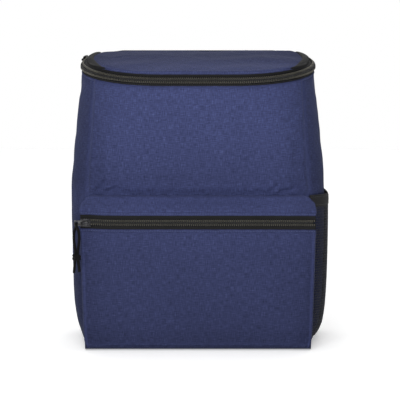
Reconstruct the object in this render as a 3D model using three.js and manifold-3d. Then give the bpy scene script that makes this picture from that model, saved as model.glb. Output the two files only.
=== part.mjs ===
// Insulated cooler backpack: a soft foam-walled tub with a hinged, zipped lid, a zipped front pocket,
// a mesh side pocket, and a carrying harness on its back.
// Millimetres. +Z up, front towards -Y, back towards +Y, +X to the right as seen from the front.
// Origin: middle of the base of the main tub, on the surface that the bag stands on.
import * as THREE from "three";
import { mergeVertices } from "three/addons/utils/BufferGeometryUtils.js";
import Module from "manifold-3d";

// ---------------------------------------------------------------- driving dimensions
const RIM_FRONT_Z = 322.5; // top edge of the wall cloth at the front
const RIM_FRONT_Y = -72; // front of the tub at the rim
const BACK_Y = 75; // outside of the back panel
const RIM_SLOPE = (10.1 * Math.PI) / 180; // the rim and lid rise towards the back
const BACK_CORNER_R = 22;
const LEAN = 55; // degrees that the upper zip tape leans in over the lid's sides
const ZIP_BAND = 16.6; // width of the whole main zip, tape edge to tape edge
const SPLIT_H = 8.3; // where the lid parts from the tub, above the wall cloth
const CLOTH = 1.2;
const GAP = 0.3;
const FOAM = 5;
const LINER = 1;

// harness
const LOCK_X = 100; // middle of each ladder lock
const HANDLE_Z = 322; // middle of the haul handle's loop

// sliders and the pull cord, in the slider's own frame
const CORD_R = 1.5;
const TAB_N = 4.85; // middle of the tab's thickness above the zip's cloth, at its pivot
const TAB_PIVOT = 1.4;
const POCKET_TAB_SLANT = 12; // the pocket's tab stands out a little, which leaves room for its cord
const MAIN_TAB_SLANT = 0;
const TAB_END = -14;
const HANG = -10.8; // middle of the tab's far window
const KNOT = -42; // middle of the cord's knot below the tab
const POCKET_SLIDER_X = -137.6;
const MAIN_SLIDER_ANGLE = 107; // about the rim's left arc, from straight ahead

// half-width, front plane, front corner radius and front seam position of the tub against height
const HALF_WIDTH = [[0, 143], [5, 145], [12, 147.5], [26, 152], [50, 155.3], [90, 157.4], [150, 158.6], [190, 158.8], [213, 157.9], [233, 156.3], [263, 153.8], [294, 151], [322.5, 148.6]];
const FRONT_Y = [[0, -73], [60, -76], [190, -76], [260, -74.5], [322.5, RIM_FRONT_Y]];
const FRONT_R = [[0, 38], [190, 44], [225, 54], [275, 76], [322.5, 105]];
const SEAM_X = [[0, 135], [190, 138], [230, 136], [322.5, 131]];

// front pocket
const POCKET_Y = -108; // plane of the pocket's zip and of its front
const POCKET_BULGE = 3; // how far the pocket's front stands out at mid height
const POCKET_HALF_TOP = 144.5;
const POCKET_HALF_BOTTOM = 139.5;
const POCKET_ZIP_Z0 = 148; // lower edge of the pocket's zip
const POCKET_ZIP_Z1 = 167.3; // upper edge
const POCKET_BACK_Z = 188; // where the pocket's top band meets the front panel

// ---------------------------------------------------------------- small tools
const wasm = await Module();
wasm.setup();
const V = (x, y, z) => new THREE.Vector3(x, y, z);
const rad = (d) => (d * Math.PI) / 180;
function interp(table, x) {
  if (x <= table[0][0]) return table[0][1];
  for (let i = 1; i < table.length; i++)
    if (x <= table[i][0]) {
      const [a, b] = [table[i - 1], table[i]];
      return b[1] + ((a[1] - b[1]) * (b[0] - x)) / (b[0] - a[0]);
    }
  return table[table.length - 1][1];
}
const steps = (a, b, n) => Array.from({ length: n + 1 }, (_, i) => a + ((b - a) * i) / n);

// a closed BufferGeometry from points and triangles, turned so that its faces point out
function closed(points, tris) {
  let volume = 0;
  for (const [a, b, c] of tris) volume += points[a].dot(new THREE.Vector3().crossVectors(points[b], points[c])) / 6;
  const pos = new Float32Array(points.length * 3);
  points.forEach((p, i) => pos.set([p.x, p.y, p.z], 3 * i));
  const index = tris.flatMap(([a, b, c]) => (volume < 0 ? [a, c, b] : [a, b, c]));
  const g = new THREE.BufferGeometry();
  g.setAttribute("position", new THREE.BufferAttribute(pos, 3));
  g.setIndex(index);
  g.computeVertexNormals();
  return g;
}
// a sheet with thickness: two grids of points, [i][j], joined round their edges
function slab(outer, inner) {
  const nu = outer.length, nv = outer[0].length, points = [...outer.flat(), ...inner.flat()], tris = [];
  const id = (k, i, j) => k * nu * nv + i * nv + j;
  const quad = (a, b, c, d) => tris.push([a, b, c], [a, c, d]);
  for (let i = 0; i < nu - 1; i++)
    for (let j = 0; j < nv - 1; j++) {
      quad(id(0, i, j), id(0, i + 1, j), id(0, i + 1, j + 1), id(0, i, j + 1));
      quad(id(1, i, j), id(1, i, j + 1), id(1, i + 1, j + 1), id(1, i + 1, j));
    }
  for (let i = 0; i < nu - 1; i++) {
    quad(id(0, i, 0), id(1, i, 0), id(1, i + 1, 0), id(0, i + 1, 0));
    quad(id(0, i, nv - 1), id(0, i + 1, nv - 1), id(1, i + 1, nv - 1), id(1, i, nv - 1));
  }
  for (let j = 0; j < nv - 1; j++) {
    quad(id(0, 0, j), id(0, 0, j + 1), id(1, 0, j + 1), id(1, 0, j));
    quad(id(0, nu - 1, j), id(1, nu - 1, j), id(1, nu - 1, j + 1), id(0, nu - 1, j + 1));
  }
  return closed(points, tris);
}
// rings of equal length joined one after another, with a fan over the first and the last
function loft(rings) {
  const n = rings[0].length, points = rings.flat(), tris = [];
  for (let k = 0; k < rings.length - 1; k++)
    for (let i = 0; i < n; i++) {
      const a = k * n + i, b = k * n + ((i + 1) % n), c = a + n, d = b + n;
      tris.push([a, b, d], [a, d, c]);
    }
  const fan = (ring, k, turn) => {
    const c = ring.reduce((s, p) => s.add(p), V(0, 0, 0)).divideScalar(n);
    points.push(c);
    const ci = points.length - 1;
    for (let i = 0; i < n; i++) {
      const a = k * n + i, b = k * n + ((i + 1) % n);
      tris.push(turn ? [ci, b, a] : [ci, a, b]);
    }
  };
  fan(rings[0], 0, true);
  fan(rings[rings.length - 1], rings.length - 1, false);
  return closed(points, tris);
}
// a rectangular bar along a path: each station has a point, an outward normal and an up direction
function bar(path, out0, out1, up0, up1) {
  return loft(path.map(({ p, n, u }) => [[out0, up0], [out1, up0], [out1, up1], [out0, up1]].map(([a, b]) => p.clone().addScaledVector(n, a).addScaledVector(u, b))));
}
function tube(points, r, sides = 8) {
  const curve = points.map((p) => p);
  let side = null;
  return loft(curve.map((p, i) => {
    const t = curve[Math.min(i + 1, curve.length - 1)].clone().sub(curve[Math.max(i - 1, 0)]).normalize();
    if (!side) side = new THREE.Vector3().crossVectors(t, Math.abs(t.x) < 0.8 ? V(1, 0, 0) : V(0, 1, 0)).normalize();
    side = side.clone().addScaledVector(t, -side.dot(t)).normalize();
    const other = new THREE.Vector3().crossVectors(t, side);
    return Array.from({ length: sides }, (_, k) => {
      const a = (2 * Math.PI * k) / sides;
      return p.clone().addScaledVector(side, r * Math.cos(a)).addScaledVector(other, r * Math.sin(a));
    });
  }));
}
function toSolid(g) {
  const c = g.index ? g.toNonIndexed() : g.clone();
  const only = new THREE.BufferGeometry().setAttribute("position", c.getAttribute("position"));
  const m = mergeVertices(only, 1e-4);
  return new wasm.Manifold(new wasm.Mesh({ numProp: 3, vertProperties: m.attributes.position.array, triVerts: new Uint32Array(m.index.array) }));
}
function fromSolid(s) {
  const m = s.getMesh(), n = m.numProp, pos = new Float32Array(m.numVert * 3);
  for (let i = 0; i < m.numVert; i++) pos.set(m.vertProperties.subarray(i * n, i * n + 3), i * 3);
  const g = new THREE.BufferGeometry();
  g.setAttribute("position", new THREE.BufferAttribute(pos, 3));
  g.setIndex(Array.from(m.triVerts));
  g.computeVertexNormals();
  return g;
}
const join = (...gs) => fromSolid(gs.map(toSolid).reduce((a, b) => a.add(b)));
const cut = (g, ...tools) => fromSolid(tools.map(toSolid).reduce((a, b) => a.subtract(b), toSolid(g)));
const box = (x0, x1, y0, y1, z0, z1) => new THREE.BoxGeometry(x1 - x0, y1 - y0, z1 - z0).translate((x0 + x1) / 2, (y0 + y1) / 2, (z0 + z1) / 2);

// ---------------------------------------------------------------- the tub's surface
const TAN = Math.tan(RIM_SLOPE), COS = Math.cos(RIM_SLOPE), SIN = Math.sin(RIM_SLOPE);
const rimZ = (y) => RIM_FRONT_Z + (y - RIM_FRONT_Y) * TAN;
const RIM_UP = V(0, -SIN, COS); // square to the rim's plane
function at(t) {
  const z = t * RIM_FRONT_Z, w = interp(HALF_WIDTH, z), yf = interp(FRONT_Y, z), R = interp(FRONT_R, z), xs = interp(SEAM_X, z);
  const ry = R * (1 - (1 - COS) * t); // the corner is a true arc in the plane of the rim
  return { w, yf, R, ry, seam: Math.asin((xs - (w - R)) / R) };
}
// plan points of the four wall panels, inset by d; trim pulls each end back from its seam.
// Low down the back corners are round. Towards the rim the front arc runs on past the side to the back plane.
function frontPlan(t, d, na, nb, trim = 0) {
  const { w, yf, R, ry, seam } = at(t), e = seam - trim / R, cx = w - R;
  const arc = steps(e, 0, na).map((a) => [cx + (R - d) * Math.sin(a), yf + ry - (ry - d) * Math.cos(a)]);
  const left = arc.map(([x, y]) => [-x, y]), right = [...arc].reverse();
  const mid = steps(-cx, cx, nb).slice(1, -1).map((x) => [x, yf + d]);
  return [...left, ...mid, ...right];
}
const rimShare = (t) => { const k = Math.min(1, Math.max(0, (t - 0.66) / 0.34)); return k * k * (3 - 2 * k); };
const mixPlan = (a, b, k) => a.map(([x, y], i) => [x + (b[i][0] - x) * k, y + (b[i][1] - y) * k]);
const rimEnd = (t, d) => { const { yf, ry } = at(t); return Math.asin(Math.min(1, (BACK_Y - d - yf - ry) / (ry - d))); };
// rear quarter of the plan once the corner has opened out: the rim's own arc, stretched to reach the back
const rearPoint = (t, d, share, trim = 0) => {
  const { w, yf, ry } = at(t), R = FRONT_R[FRONT_R.length - 1][1], full = rimEnd(1, d), b = (full - trim / R) * share;
  return [w - R + (R - d) * Math.cos(b), yf + ry + ((BACK_Y - d - yf - ry) * Math.sin(b)) / Math.sin(full)];
};
function sidePlan(t, d, na, nb, nc, sign, trim = 0) {
  const { w, yf, R, ry, seam } = at(t), cx = w - R, Rb = BACK_CORNER_R;
  const arc = steps(seam + trim / R, Math.PI / 2, na).map((a) => [cx + (R - d) * Math.sin(a), yf + ry - (ry - d) * Math.cos(a)]);
  const mid = steps(yf + ry, BACK_Y - Rb, nb).slice(1, -1).map((y) => [w - d, y]);
  const corner = steps(0, Math.PI / 4 - trim / Rb, nc).map((a) => [w - Rb + (Rb - d) * Math.cos(a), BACK_Y - Rb + (Rb - d) * Math.sin(a)]);
  const low = [...mid, ...corner], n = low.length;
  const high = low.map((_, i) => rearPoint(t, d, (i + 1) / n, trim));
  return [...arc, ...mixPlan(low, high, rimShare(t))].map(([x, y]) => [sign * x, y]);
}
function backPlan(t, d, nc, nb, trim = 0) {
  const { w } = at(t), Rb = BACK_CORNER_R, k = rimShare(t);
  const low = steps(Math.PI / 4 + trim / Rb, Math.PI / 2, nc).map((a) => [w - Rb + (Rb - d) * Math.cos(a), BACK_Y - Rb + (Rb - d) * Math.sin(a)]);
  const xc = rearPoint(t, d, 1)[0] - trim, high = low.map((_, i) => [xc - 7 * i, BACK_Y - d]);
  const arc = mixPlan(low, high, k), edge = arc[arc.length - 1][0];
  const left = arc.map(([x, y]) => [-x, y]), right = [...arc].reverse();
  const mid = steps(-edge, edge, nb).slice(1, -1).map((x) => [x, BACK_Y - d]);
  return [...left, ...mid, ...right];
}
function ringPlan(t, d, na = 4, nb = 2, nc = 3) {
  const f = frontPlan(t, d, na, nb), r = sidePlan(t, d, na, 2, nc, 1), b = backPlan(t, d, nc, nb).reverse(), l = sidePlan(t, d, na, 2, nc, -1).reverse();
  return [...f, ...r.slice(1), ...b.slice(1), ...l.slice(1, -1)];
}
const lift = ([x, y], t, h = 0) => V(x, y, t * rimZ(y)).addScaledVector(RIM_UP, h);
const flat = ([x, y], z) => V(x, y, z);
const WALL_Z = [1.5, 12, 26, 65, 120, 190, 213, 233, 255, 275, 300, 322.5].map((z) => z / RIM_FRONT_Z);
// a wall panel: columns round the plan, rows up the wall
function wall(plan, d0, d1, rows, top = null) {
  const grid = (d) => {
    const lines = rows.map((t) => plan(t, d).map((p) => lift(p, t)));
    if (top !== null) lines.push(plan(1, d).map((p) => lift(p, 1, top)));
    return lines[0].map((_, i) => lines.map((l) => l[i]));
  };
  return slab(grid(d0), grid(d1));
}

// ---------------------------------------------------------------- materials
const mat = (color, roughness = 0.9, metalness = 0) => new THREE.MeshStandardMaterial({ color, roughness, metalness });
const cloth = mat(0x434a72), clothSide = mat(0x3a4066), black = mat(0x222224, 0.85), tape = mat(0x2b2b2c, 0.9), coil = mat(0x1b1b1c, 0.45);
const foam = mat(0xe6e6e2, 0.8), liner = mat(0xc9cdd1, 0.35, 0.2), board = mat(0xd9d9d4, 0.6), metal = mat(0x2a2a2b, 0.35, 0.8), plastic = mat(0x161617, 0.5);
const bag = new THREE.Group();
const lid = new THREE.Group();
const pocket = new THREE.Group();
const harness = new THREE.Group();
bag.add(lid, pocket, harness);
function add(name, geometry, material, group = bag) {
  const m = new THREE.Mesh(geometry, material);
  m.name = name;
  group.add(m);
  return m;
}

// ---------------------------------------------------------------- tub: cloth, foam, liner
const T = GAP / 2;
add("front_panel", wall((t, d) => frontPlan(t, d, 4, 2, T), 0, CLOTH, WALL_Z), cloth);
add("left_side_panel", wall((t, d) => sidePlan(t, d, 4, 2, 3, -1, T).reverse(), 0, CLOTH, WALL_Z), clothSide);
add("right_side_panel", wall((t, d) => sidePlan(t, d, 4, 2, 3, 1, T), 0, CLOTH, WALL_Z), clothSide);
// the back panel runs up past the ends of the zip to the hinge line
add("back_panel", wall((t, d) => backPlan(t, d, 3, 2, T), 0, CLOTH, WALL_Z, SPLIT_H - 1.6), cloth);
add("base_panel", loft([ringPlan(0, 0).map((p) => flat(p, 0)), ringPlan(0.004, 0).map((p) => flat(p, CLOTH))]), black);
const F0 = CLOTH + GAP, F1 = F0 + FOAM, L0 = F1 + 1.5, L1 = L0 + LINER;
const FOAM_Z = WALL_Z.slice(1);
add("front_foam", wall((t, d) => frontPlan(t, d, 4, 2, T), F0, F1, FOAM_Z, SPLIT_H - 0.75), foam);
const ease = (t) => 1.8 * rimShare(t); // the film hangs a little slack under the rim
const linerOutside = (d) => [ringPlan(9.3 / RIM_FRONT_Z, d).map((p) => flat(p, 9.3)), ...WALL_Z.slice(2).map((t) => ringPlan(t, d + ease(t)).map((p) => lift(p, t))), ringPlan(1, d + ease(1)).map((p) => lift(p, 1, SPLIT_H - 0.75))];
add("left_foam", cut(wall((t, d) => sidePlan(t, d, 4, 2, 3, -1, T).reverse(), F0, F1, FOAM_Z, SPLIT_H - 0.75), loft(linerOutside(L0 - GAP))), foam);
add("right_foam", wall((t, d) => sidePlan(t, d, 4, 2, 3, 1, T), F0, F1, FOAM_Z, SPLIT_H - 0.75), foam);
add("back_foam", wall((t, d) => backPlan(t, d, 3, 2, T), F0, F1, FOAM_Z, SPLIT_H - 2.2), foam);
add("base_board", loft([ringPlan(0.004, 3).map((p) => flat(p, CLOTH + GAP)), ringPlan(0.004, 3).map((p) => flat(p, 3.7))]), board);
add("base_foam", loft([ringPlan(0.02, L0).map((p) => flat(p, 4)), ringPlan(0.02, L0).map((p) => flat(p, 9))]), foam);
{
  add("liner_tub", loft([...linerOutside(L0), ...linerOutside(L1).map((ring, k) => (k === 0 ? ring.map((p) => p.clone().setZ(9.3 + LINER)) : ring)).reverse()]), liner);
}

// ---------------------------------------------------------------- main zip, round the sides and front of the rim
// a single arc each side, from the back seam to the straight of the front; it stops short of the seams
const zipPlan = (() => {
  const { w, yf, R, ry } = at(1), cx = w - R, end = rimEnd(1, 0) - 2 / R;
  const arc = steps(Math.PI / 2 + end, 0, 15).map((a) => [cx + R * Math.sin(a), yf + ry - ry * Math.cos(a), a]);
  return [...arc.map(([x, y, a]) => [-x, y, a]), [0, yf, 0], ...[...arc].reverse()];
})();
const lean = (a) => { const k = Math.min(1, Math.max(0, (a - rad(25)) / rad(60))); return rad(LEAN) * k * k * (3 - 2 * k); };
const rimPath = zipPlan.map(([x, y, a]) => {
  const sx = x === 0 ? 0 : Math.sign(x), n = V(sx * Math.sin(a), -Math.cos(a) * COS, -Math.cos(a) * SIN);
  return { p: lift([x, y], 1), n, u: RIM_UP.clone(), a };
});
// the upper tape leans in about the split line at the sides
const leanPath = rimPath.map(({ p, n, a }) => {
  const f = lean(a), c = Math.cos(f), k = Math.sin(f);
  return { p: p.clone().addScaledVector(RIM_UP, SPLIT_H), n: n.clone().multiplyScalar(c).addScaledVector(RIM_UP, k), u: RIM_UP.clone().multiplyScalar(c).addScaledVector(n, -k) };
});
const HALF = ZIP_BAND - SPLIT_H;
add("main_zip_tape_lower", bar(rimPath, -1.0, -0.2, GAP, SPLIT_H - 0.75), tape);
add("main_zip_coil_lower", bar(rimPath, 0.1, 2.3, SPLIT_H - 4.05, SPLIT_H - 0.75), coil);
add("main_zip_tape_upper", bar(leanPath, -1.0, -0.2, 0.9, HALF - GAP), tape, lid);
add("main_zip_coil_upper", bar(leanPath, 0.35, 2.4, 0.9, 4.05), coil, lid);

// ---------------------------------------------------------------- lid: cloth, foam and liner, crowned, above the split
const CENTRE = [0, 8];
const shrink = ([x, y], k) => [CENTRE[0] + (x - CENTRE[0]) * k, CENTRE[1] + (y - CENTRE[1]) * k];
// angle of the rim's outward direction at a plan point, from straight ahead
function rimAngle([x, y]) {
  const { w, yf, R, ry } = at(1), cx = w - R;
  return Math.abs(x) <= cx && y < 0 ? 0 : Math.atan2(Math.max(0, Math.abs(x) - cx), -(y - yf - ry));
}
// the lid's edge follows the top edge of the leaning tape; along the back it stands straight over the hinge
function lidEdge(h) {
  return ringPlan(1, 0).map((p, i, all) => {
    const back = p[1] > BACK_Y - 0.5, f = lean(back ? Math.PI / 2 : rimAngle(p)), c = CENTRE, l = Math.hypot(p[0] - c[0], p[1] - c[1]);
    const inset = HALF * Math.sin(f) * (back ? Math.max(0, (Math.abs(p[0]) - 90) / 50) : 1), a = rimAngle(p), n = back ? [Math.sign(p[0]) * 0.8, 0.2] : [Math.sign(p[0]) * Math.sin(a), -Math.cos(a)];
    return { q: [p[0] - n[0] * inset, p[1] - n[1] * inset], h: SPLIT_H + HALF * (back ? 1 - (1 - Math.cos(f)) * Math.max(0, Math.min(1, (Math.abs(p[0]) - 90) / 50)) : Math.cos(f)) + h };
  });
}
function lidPanel(crown) {
  const up = (k) => crown * (1 - Math.pow(k, 3));
  const ring = (k, th) => lidEdge(th).map(({ q, h }) => lift(shrink(q, k), 1, h + (ZIP_BAND + th - h) * Math.min(1, (1 - k) / 0.12) + up(k)));
  return loft([...[0.3, 0.7, 0.88, 1].map((k) => ring(k, 0)), ...[1, 0.88, 0.7, 0.3].map((k) => ring(k, CLOTH))]);
}
function lidLayer(d, h0, h1, crown) {
  const ring = ringPlan(1, d), up = (k) => crown * (1 - Math.pow(k, 3));
  const rings = [0.35, 0.75].map((k) => ring.map((p) => lift(shrink(p, k), 1, h0 + up(k))));
  rings.push(ring.map((p) => lift(p, 1, h0)), ring.map((p) => lift(p, 1, h1)));
  rings.push(...[0.75, 0.35].map((k) => ring.map((p) => lift(shrink(p, k), 1, h1 + up(k)))));
  return loft(rings);
}
add("lid_panel", lidPanel(3.5), cloth, lid);
add("lid_foam", lidLayer(16, 11.6, 15.0, 3), foam, lid);
add("lid_liner", lidLayer(10, 9.7, 10.5, 3), liner, lid);
// cloth that carries the lid along the top of the back; the cloth bends here
{
  const y0 = BACK_Y + GAP, zTop = rimZ(BACK_Y) + SPLIT_H - 2;
  add("lid_hinge_strip", box(-118, 118, y0, y0 + 1.2, zTop - 16, zTop), black);
}

// ---------------------------------------------------------------- front pocket
const pocketHalf = (z) => POCKET_HALF_BOTTOM + (POCKET_HALF_TOP - POCKET_HALF_BOTTOM) * Math.min(1, z / POCKET_ZIP_Z1);
const pocketFace = (z) => POCKET_Y - POCKET_BULGE * Math.sin(Math.PI * Math.min(1, Math.max(0, (z - 6) / (POCKET_ZIP_Z0 - 6))));
{
  const zs = [6.4, 25, 50, 77, 104, 130, POCKET_ZIP_Z0 - GAP];
  const grid = (dy) => steps(-1, 1, 6).map((k) => zs.map((z) => V(k * pocketHalf(z), pocketFace(z) * 1 + dy + 1.2 * k * k * k * k * ((pocketFace(z) - POCKET_Y) / -POCKET_BULGE), z)));
  add("pocket_front_panel", slab(grid(0), grid(CLOTH)), cloth, pocket);
}
const straight = (x0, x1, n, y) => steps(x0, x1, n).map((x) => ({ p: V(x, y, 0), n: V(0, -1, 0), u: V(0, 0, 1) }));
const zipMid = (POCKET_ZIP_Z0 + POCKET_ZIP_Z1) / 2;
const zipLine = straight(-POCKET_HALF_TOP + 0.4, POCKET_HALF_TOP - 0.4, 1, POCKET_Y);
add("pocket_zip_tape_lower", bar(zipLine, -1.2, -0.2, POCKET_ZIP_Z0, zipMid - 0.75), tape, pocket);
add("pocket_zip_coil_lower", bar(zipLine, 0.1, 2.3, zipMid - 4.05, zipMid - 0.75), coil, pocket);
add("pocket_zip_tape_upper", bar(zipLine, -1.2, -0.2, zipMid + 0.75, POCKET_ZIP_Z1), tape);
add("pocket_zip_coil_upper", bar(zipLine, 0.1, 2.3, zipMid + 0.75, zipMid + 4.05), coil);
{
  // the cloth band from the front panel forwards and down to the zip
  const yb = -76 - GAP;
  const rows = (k) => [[yb, POCKET_BACK_Z], [yb - 9, POCKET_BACK_Z - 1], [-94, POCKET_BACK_Z - 7], [POCKET_Y + 1.5, POCKET_ZIP_Z1 + 4], [POCKET_Y, POCKET_ZIP_Z1 + GAP]].map(([y, z], i) => V(k * (i === 0 ? 131 : i === 1 ? 137 : 144), y, z));
  const under = (k) => [[yb, POCKET_BACK_Z - 1.3], [yb - 9, POCKET_BACK_Z - 2.3], [-93.3, POCKET_BACK_Z - 8.2], [POCKET_Y + 2.7, POCKET_ZIP_Z1 + 4], [POCKET_Y + 1.2, POCKET_ZIP_Z1 + GAP]].map(([y, z], i) => V(k * (i === 0 ? 131 : i === 1 ? 137 : 144), y, z));
  add("pocket_top_band", slab(steps(-1, 1, 4).map(rows), steps(-1, 1, 4).map(under)), cloth);
}
for (const [name, s] of [["left", -1], ["right", 1]]) {
  // side of the pocket, from the tub's front seam forwards
  const xo = (z) => pocketHalf(z) - 0.0, out = [], inn = [];
  for (const [z, yTop] of [[2, -77.5], [60, -77.5], [120, -77.5], [POCKET_ZIP_Z1 - 2, -77.5]]) {
    out.push([-79.5, -92, POCKET_Y + 1.6].map((y) => V(s * (xo(z) - 0.2), y, z)));
    inn.push([-79.5, -92, POCKET_Y + 1.6].map((y) => V(s * (xo(z) - 1.4), y, z)));
  }
  add("pocket_gusset_" + name, slab(out, inn), clothSide);
  // cheek that closes the end of the band above it
  const foot = [-79.5, -85.3, -94, -105.8].map((y) => [144.1, y, POCKET_ZIP_Z1 - 1.7]), crest = [[132.6, -79.5, 185.9], [136.4, -85.3, 185.2], [143.4, -94, 179.0], [143.6, -105.8, 169.9]];
  const cheek = (o) => [foot, crest].map((row) => row.map(([x, y, z]) => V(s * (x - o), y, z)));
  add("pocket_cheek_" + name, slab(cheek(0), cheek(CLOTH)), clothSide);
}
{
  // floor of the pocket, turned up at its front edge
  const prof = (o) => [[-74.2, 0], [-100, 0], [-105.5, 1.2], [POCKET_Y, 6]].map(([y, z], i) => (o ? [y + (i === 3 ? 1.2 : i === 2 ? 0.8 : 0), z + (i === 3 ? 0 : i === 2 ? 1.1 : CLOTH)] : [y, z]));
  const grid = (o) => steps(-1, 1, 2).map((k) => prof(o).map(([y, z]) => V(k * (POCKET_HALF_BOTTOM - 2.2), y, z)));
  add("pocket_base_panel", slab(grid(false), grid(true)), clothSide);
}

// ---------------------------------------------------------------- mesh pocket on the right side
{
  // stands off the side panel, sewn down along its front, back and lower edges
  const plan = (t, d) => sidePlan(t, d, 4, 2, 1, 1, 3);
  const zs = [9, 14, 26, 65, 120, 168];
  const grid = (extra) => {
    const rows = zs.map((z, k) => plan(z / RIM_FRONT_Z, 0).map((p, i, all) => {
      const q = sidePlan(z / RIM_FRONT_Z, -(0.85 + extra + 4.4 * Math.pow(Math.sin((Math.PI * i) / (all.length - 1)), 0.6) * [0.15, 0.75, 1, 1, 1, 0.97][k]), 4, 2, 1, 1, 3)[i];
      return V(q[0], q[1], z);
    }));
    return rows[0].map((_, i) => rows.map((r) => r[i]));
  };
  add("mesh_pocket_panel", slab(grid(1), grid(0)), black);
  const bz = [170, 178, 187];
  const band = (extra) => {
    const rows = bz.map((z) => plan(z / RIM_FRONT_Z, 0).map((p, i, all) => {
      const q = sidePlan(z / RIM_FRONT_Z, -(0.85 + extra + 4.2 * Math.pow(Math.sin((Math.PI * i) / (all.length - 1)), 0.6)), 4, 2, 1, 1, 3)[i];
      return V(q[0], q[1], z);
    }));
    return rows[0].map((_, i) => rows.map((r) => r[i]));
  };
  add("mesh_pocket_binding", slab(band(1.2), band(0)), black);
}

// ---------------------------------------------------------------- sliders, tabs and the pull cord
// local frame of a slider: T along the zip, U up, N away from the bag; origin on the zip's middle line, on its outer cloth plane
function place(g, f) {
  return g.clone().applyMatrix4(new THREE.Matrix4().makeBasis(f.T, f.U, f.N).setPosition(f.o));
}
const slanted = (g, degrees) => g.clone().translate(-TAB_PIVOT, 0, -TAB_N).applyMatrix4(new THREE.Matrix4().makeRotationY(rad(degrees))).translate(TAB_PIVOT, 0, TAB_N);
function sliderBody() {
  const plate = new THREE.Shape([[-6.5, -3.6], [-3, -4.9], [5, -4.9], [6.5, -3.9], [6.5, 3.9], [5, 4.9], [-3, 4.9], [-6.5, 3.6]].map(([x, y]) => new THREE.Vector2(x, y)));
  const top = new THREE.ExtrudeGeometry(plate, { depth: 1.3, bevelEnabled: false }).translate(0, 0, 2.6);
  const flange = box(-6, 6, -4.9, -4.2, 0.35, 3.0);
  const post = box(-5.2, -1.2, -0.4, 0.4, 0.6, 3.0);
  const archL = box(-5, -3.8, -1.1, 1.1, 3.5, 6.3), archR = box(3.8, 5, -1.1, 1.1, 3.5, 6.3), archT = box(-5, 5, -1.1, 1.1, 5.8, 7);
  return join(top, flange, post, archL, archR, archT);
}
// the tab lies flat along -T from its pivot bar, which crosses under the slider's arch
function tabBody() {
  const outer = box(TAB_END, 2.1, -3.4, 3.4, TAB_N - 0.6, TAB_N + 0.6);
  return cut(outer, box(-5.6, 0.7, -1.75, 1.75, 3, 7), box(-12.6, -9.0, -1.9, 1.9, 3, 7));
}
// the pull cord: doubled through the tab's far window, knotted on itself, with two tails
function pullCord(slant) {
  const hangT = TAB_PIVOT + (HANG - TAB_PIVOT) * Math.cos(rad(slant)), hangN = TAB_N + (TAB_PIVOT - HANG) * Math.sin(rad(slant));
  const leg = (s) => [[0, 0.05, 0], [0, -0.35, 1.35], [0, -1.3, 2.3], [0.1, -2.6, 2.65], [1.2, -5.4, 2.5], [3.2, -10, 1.9], [3.95, -16, 1.2], [3.7, -22, 0.7], [2.7, -28, 0.3], [1.7, -33, 0], [1.6, -38, 0]].map(([a, b, c]) => V(hangT + s * a, b, hangN + s * c));
  const loop = [...leg(-1).reverse(), ...leg(1).slice(1)];
  const knot = new THREE.SphereGeometry(4.3, 10, 8).scale(1, 1.5, 0.85).translate(hangT, KNOT, hangN);
  const tails = [-1, 1].map((s) => tube([[1, KNOT - 2], [2.3, KNOT - 8], [3.1, KNOT - 14], [3.4, KNOT - 19.5]].map(([a, b]) => V(hangT + s * a, b, hangN)), CORD_R, 8));
  return join(tube(loop, CORD_R, 8), knot, ...tails);
}
// pocket slider at the left end of the straight pocket zip
const onPocket = { o: V(POCKET_SLIDER_X, POCKET_Y, zipMid), T: V(1, 0, 0), U: V(0, 0, 1), N: V(0, -1, 0) };
// main slider on the arc round the left front corner, at its rearmost
const rim = at(1), arcAngle = rad(MAIN_SLIDER_ANGLE);
const arcCentre = lift([-(rim.w - rim.R), rim.yf + rim.ry], 1, SPLIT_H);
const arcN = V(-Math.sin(arcAngle), -Math.cos(arcAngle) * COS, -Math.cos(arcAngle) * SIN);
const onMain = { o: arcCentre.clone().addScaledVector(arcN, rim.R), T: new THREE.Vector3().crossVectors(RIM_UP, arcN).normalize(), U: RIM_UP.clone(), N: arcN };
for (const [name, f, slant, group] of [["pocket", onPocket, POCKET_TAB_SLANT, pocket], ["main", onMain, MAIN_TAB_SLANT, bag]]) {
  add(name + "_slider", place(sliderBody(), f), metal, group);
  add(name + "_pull_tab", place(slanted(tabBody(), slant), f), metal, group);
}
add("pocket_pull_cord", place(pullCord(POCKET_TAB_SLANT), onPocket), black, pocket);

// ---------------------------------------------------------------- harness on the back
const YB = BACK_Y + GAP;
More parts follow.
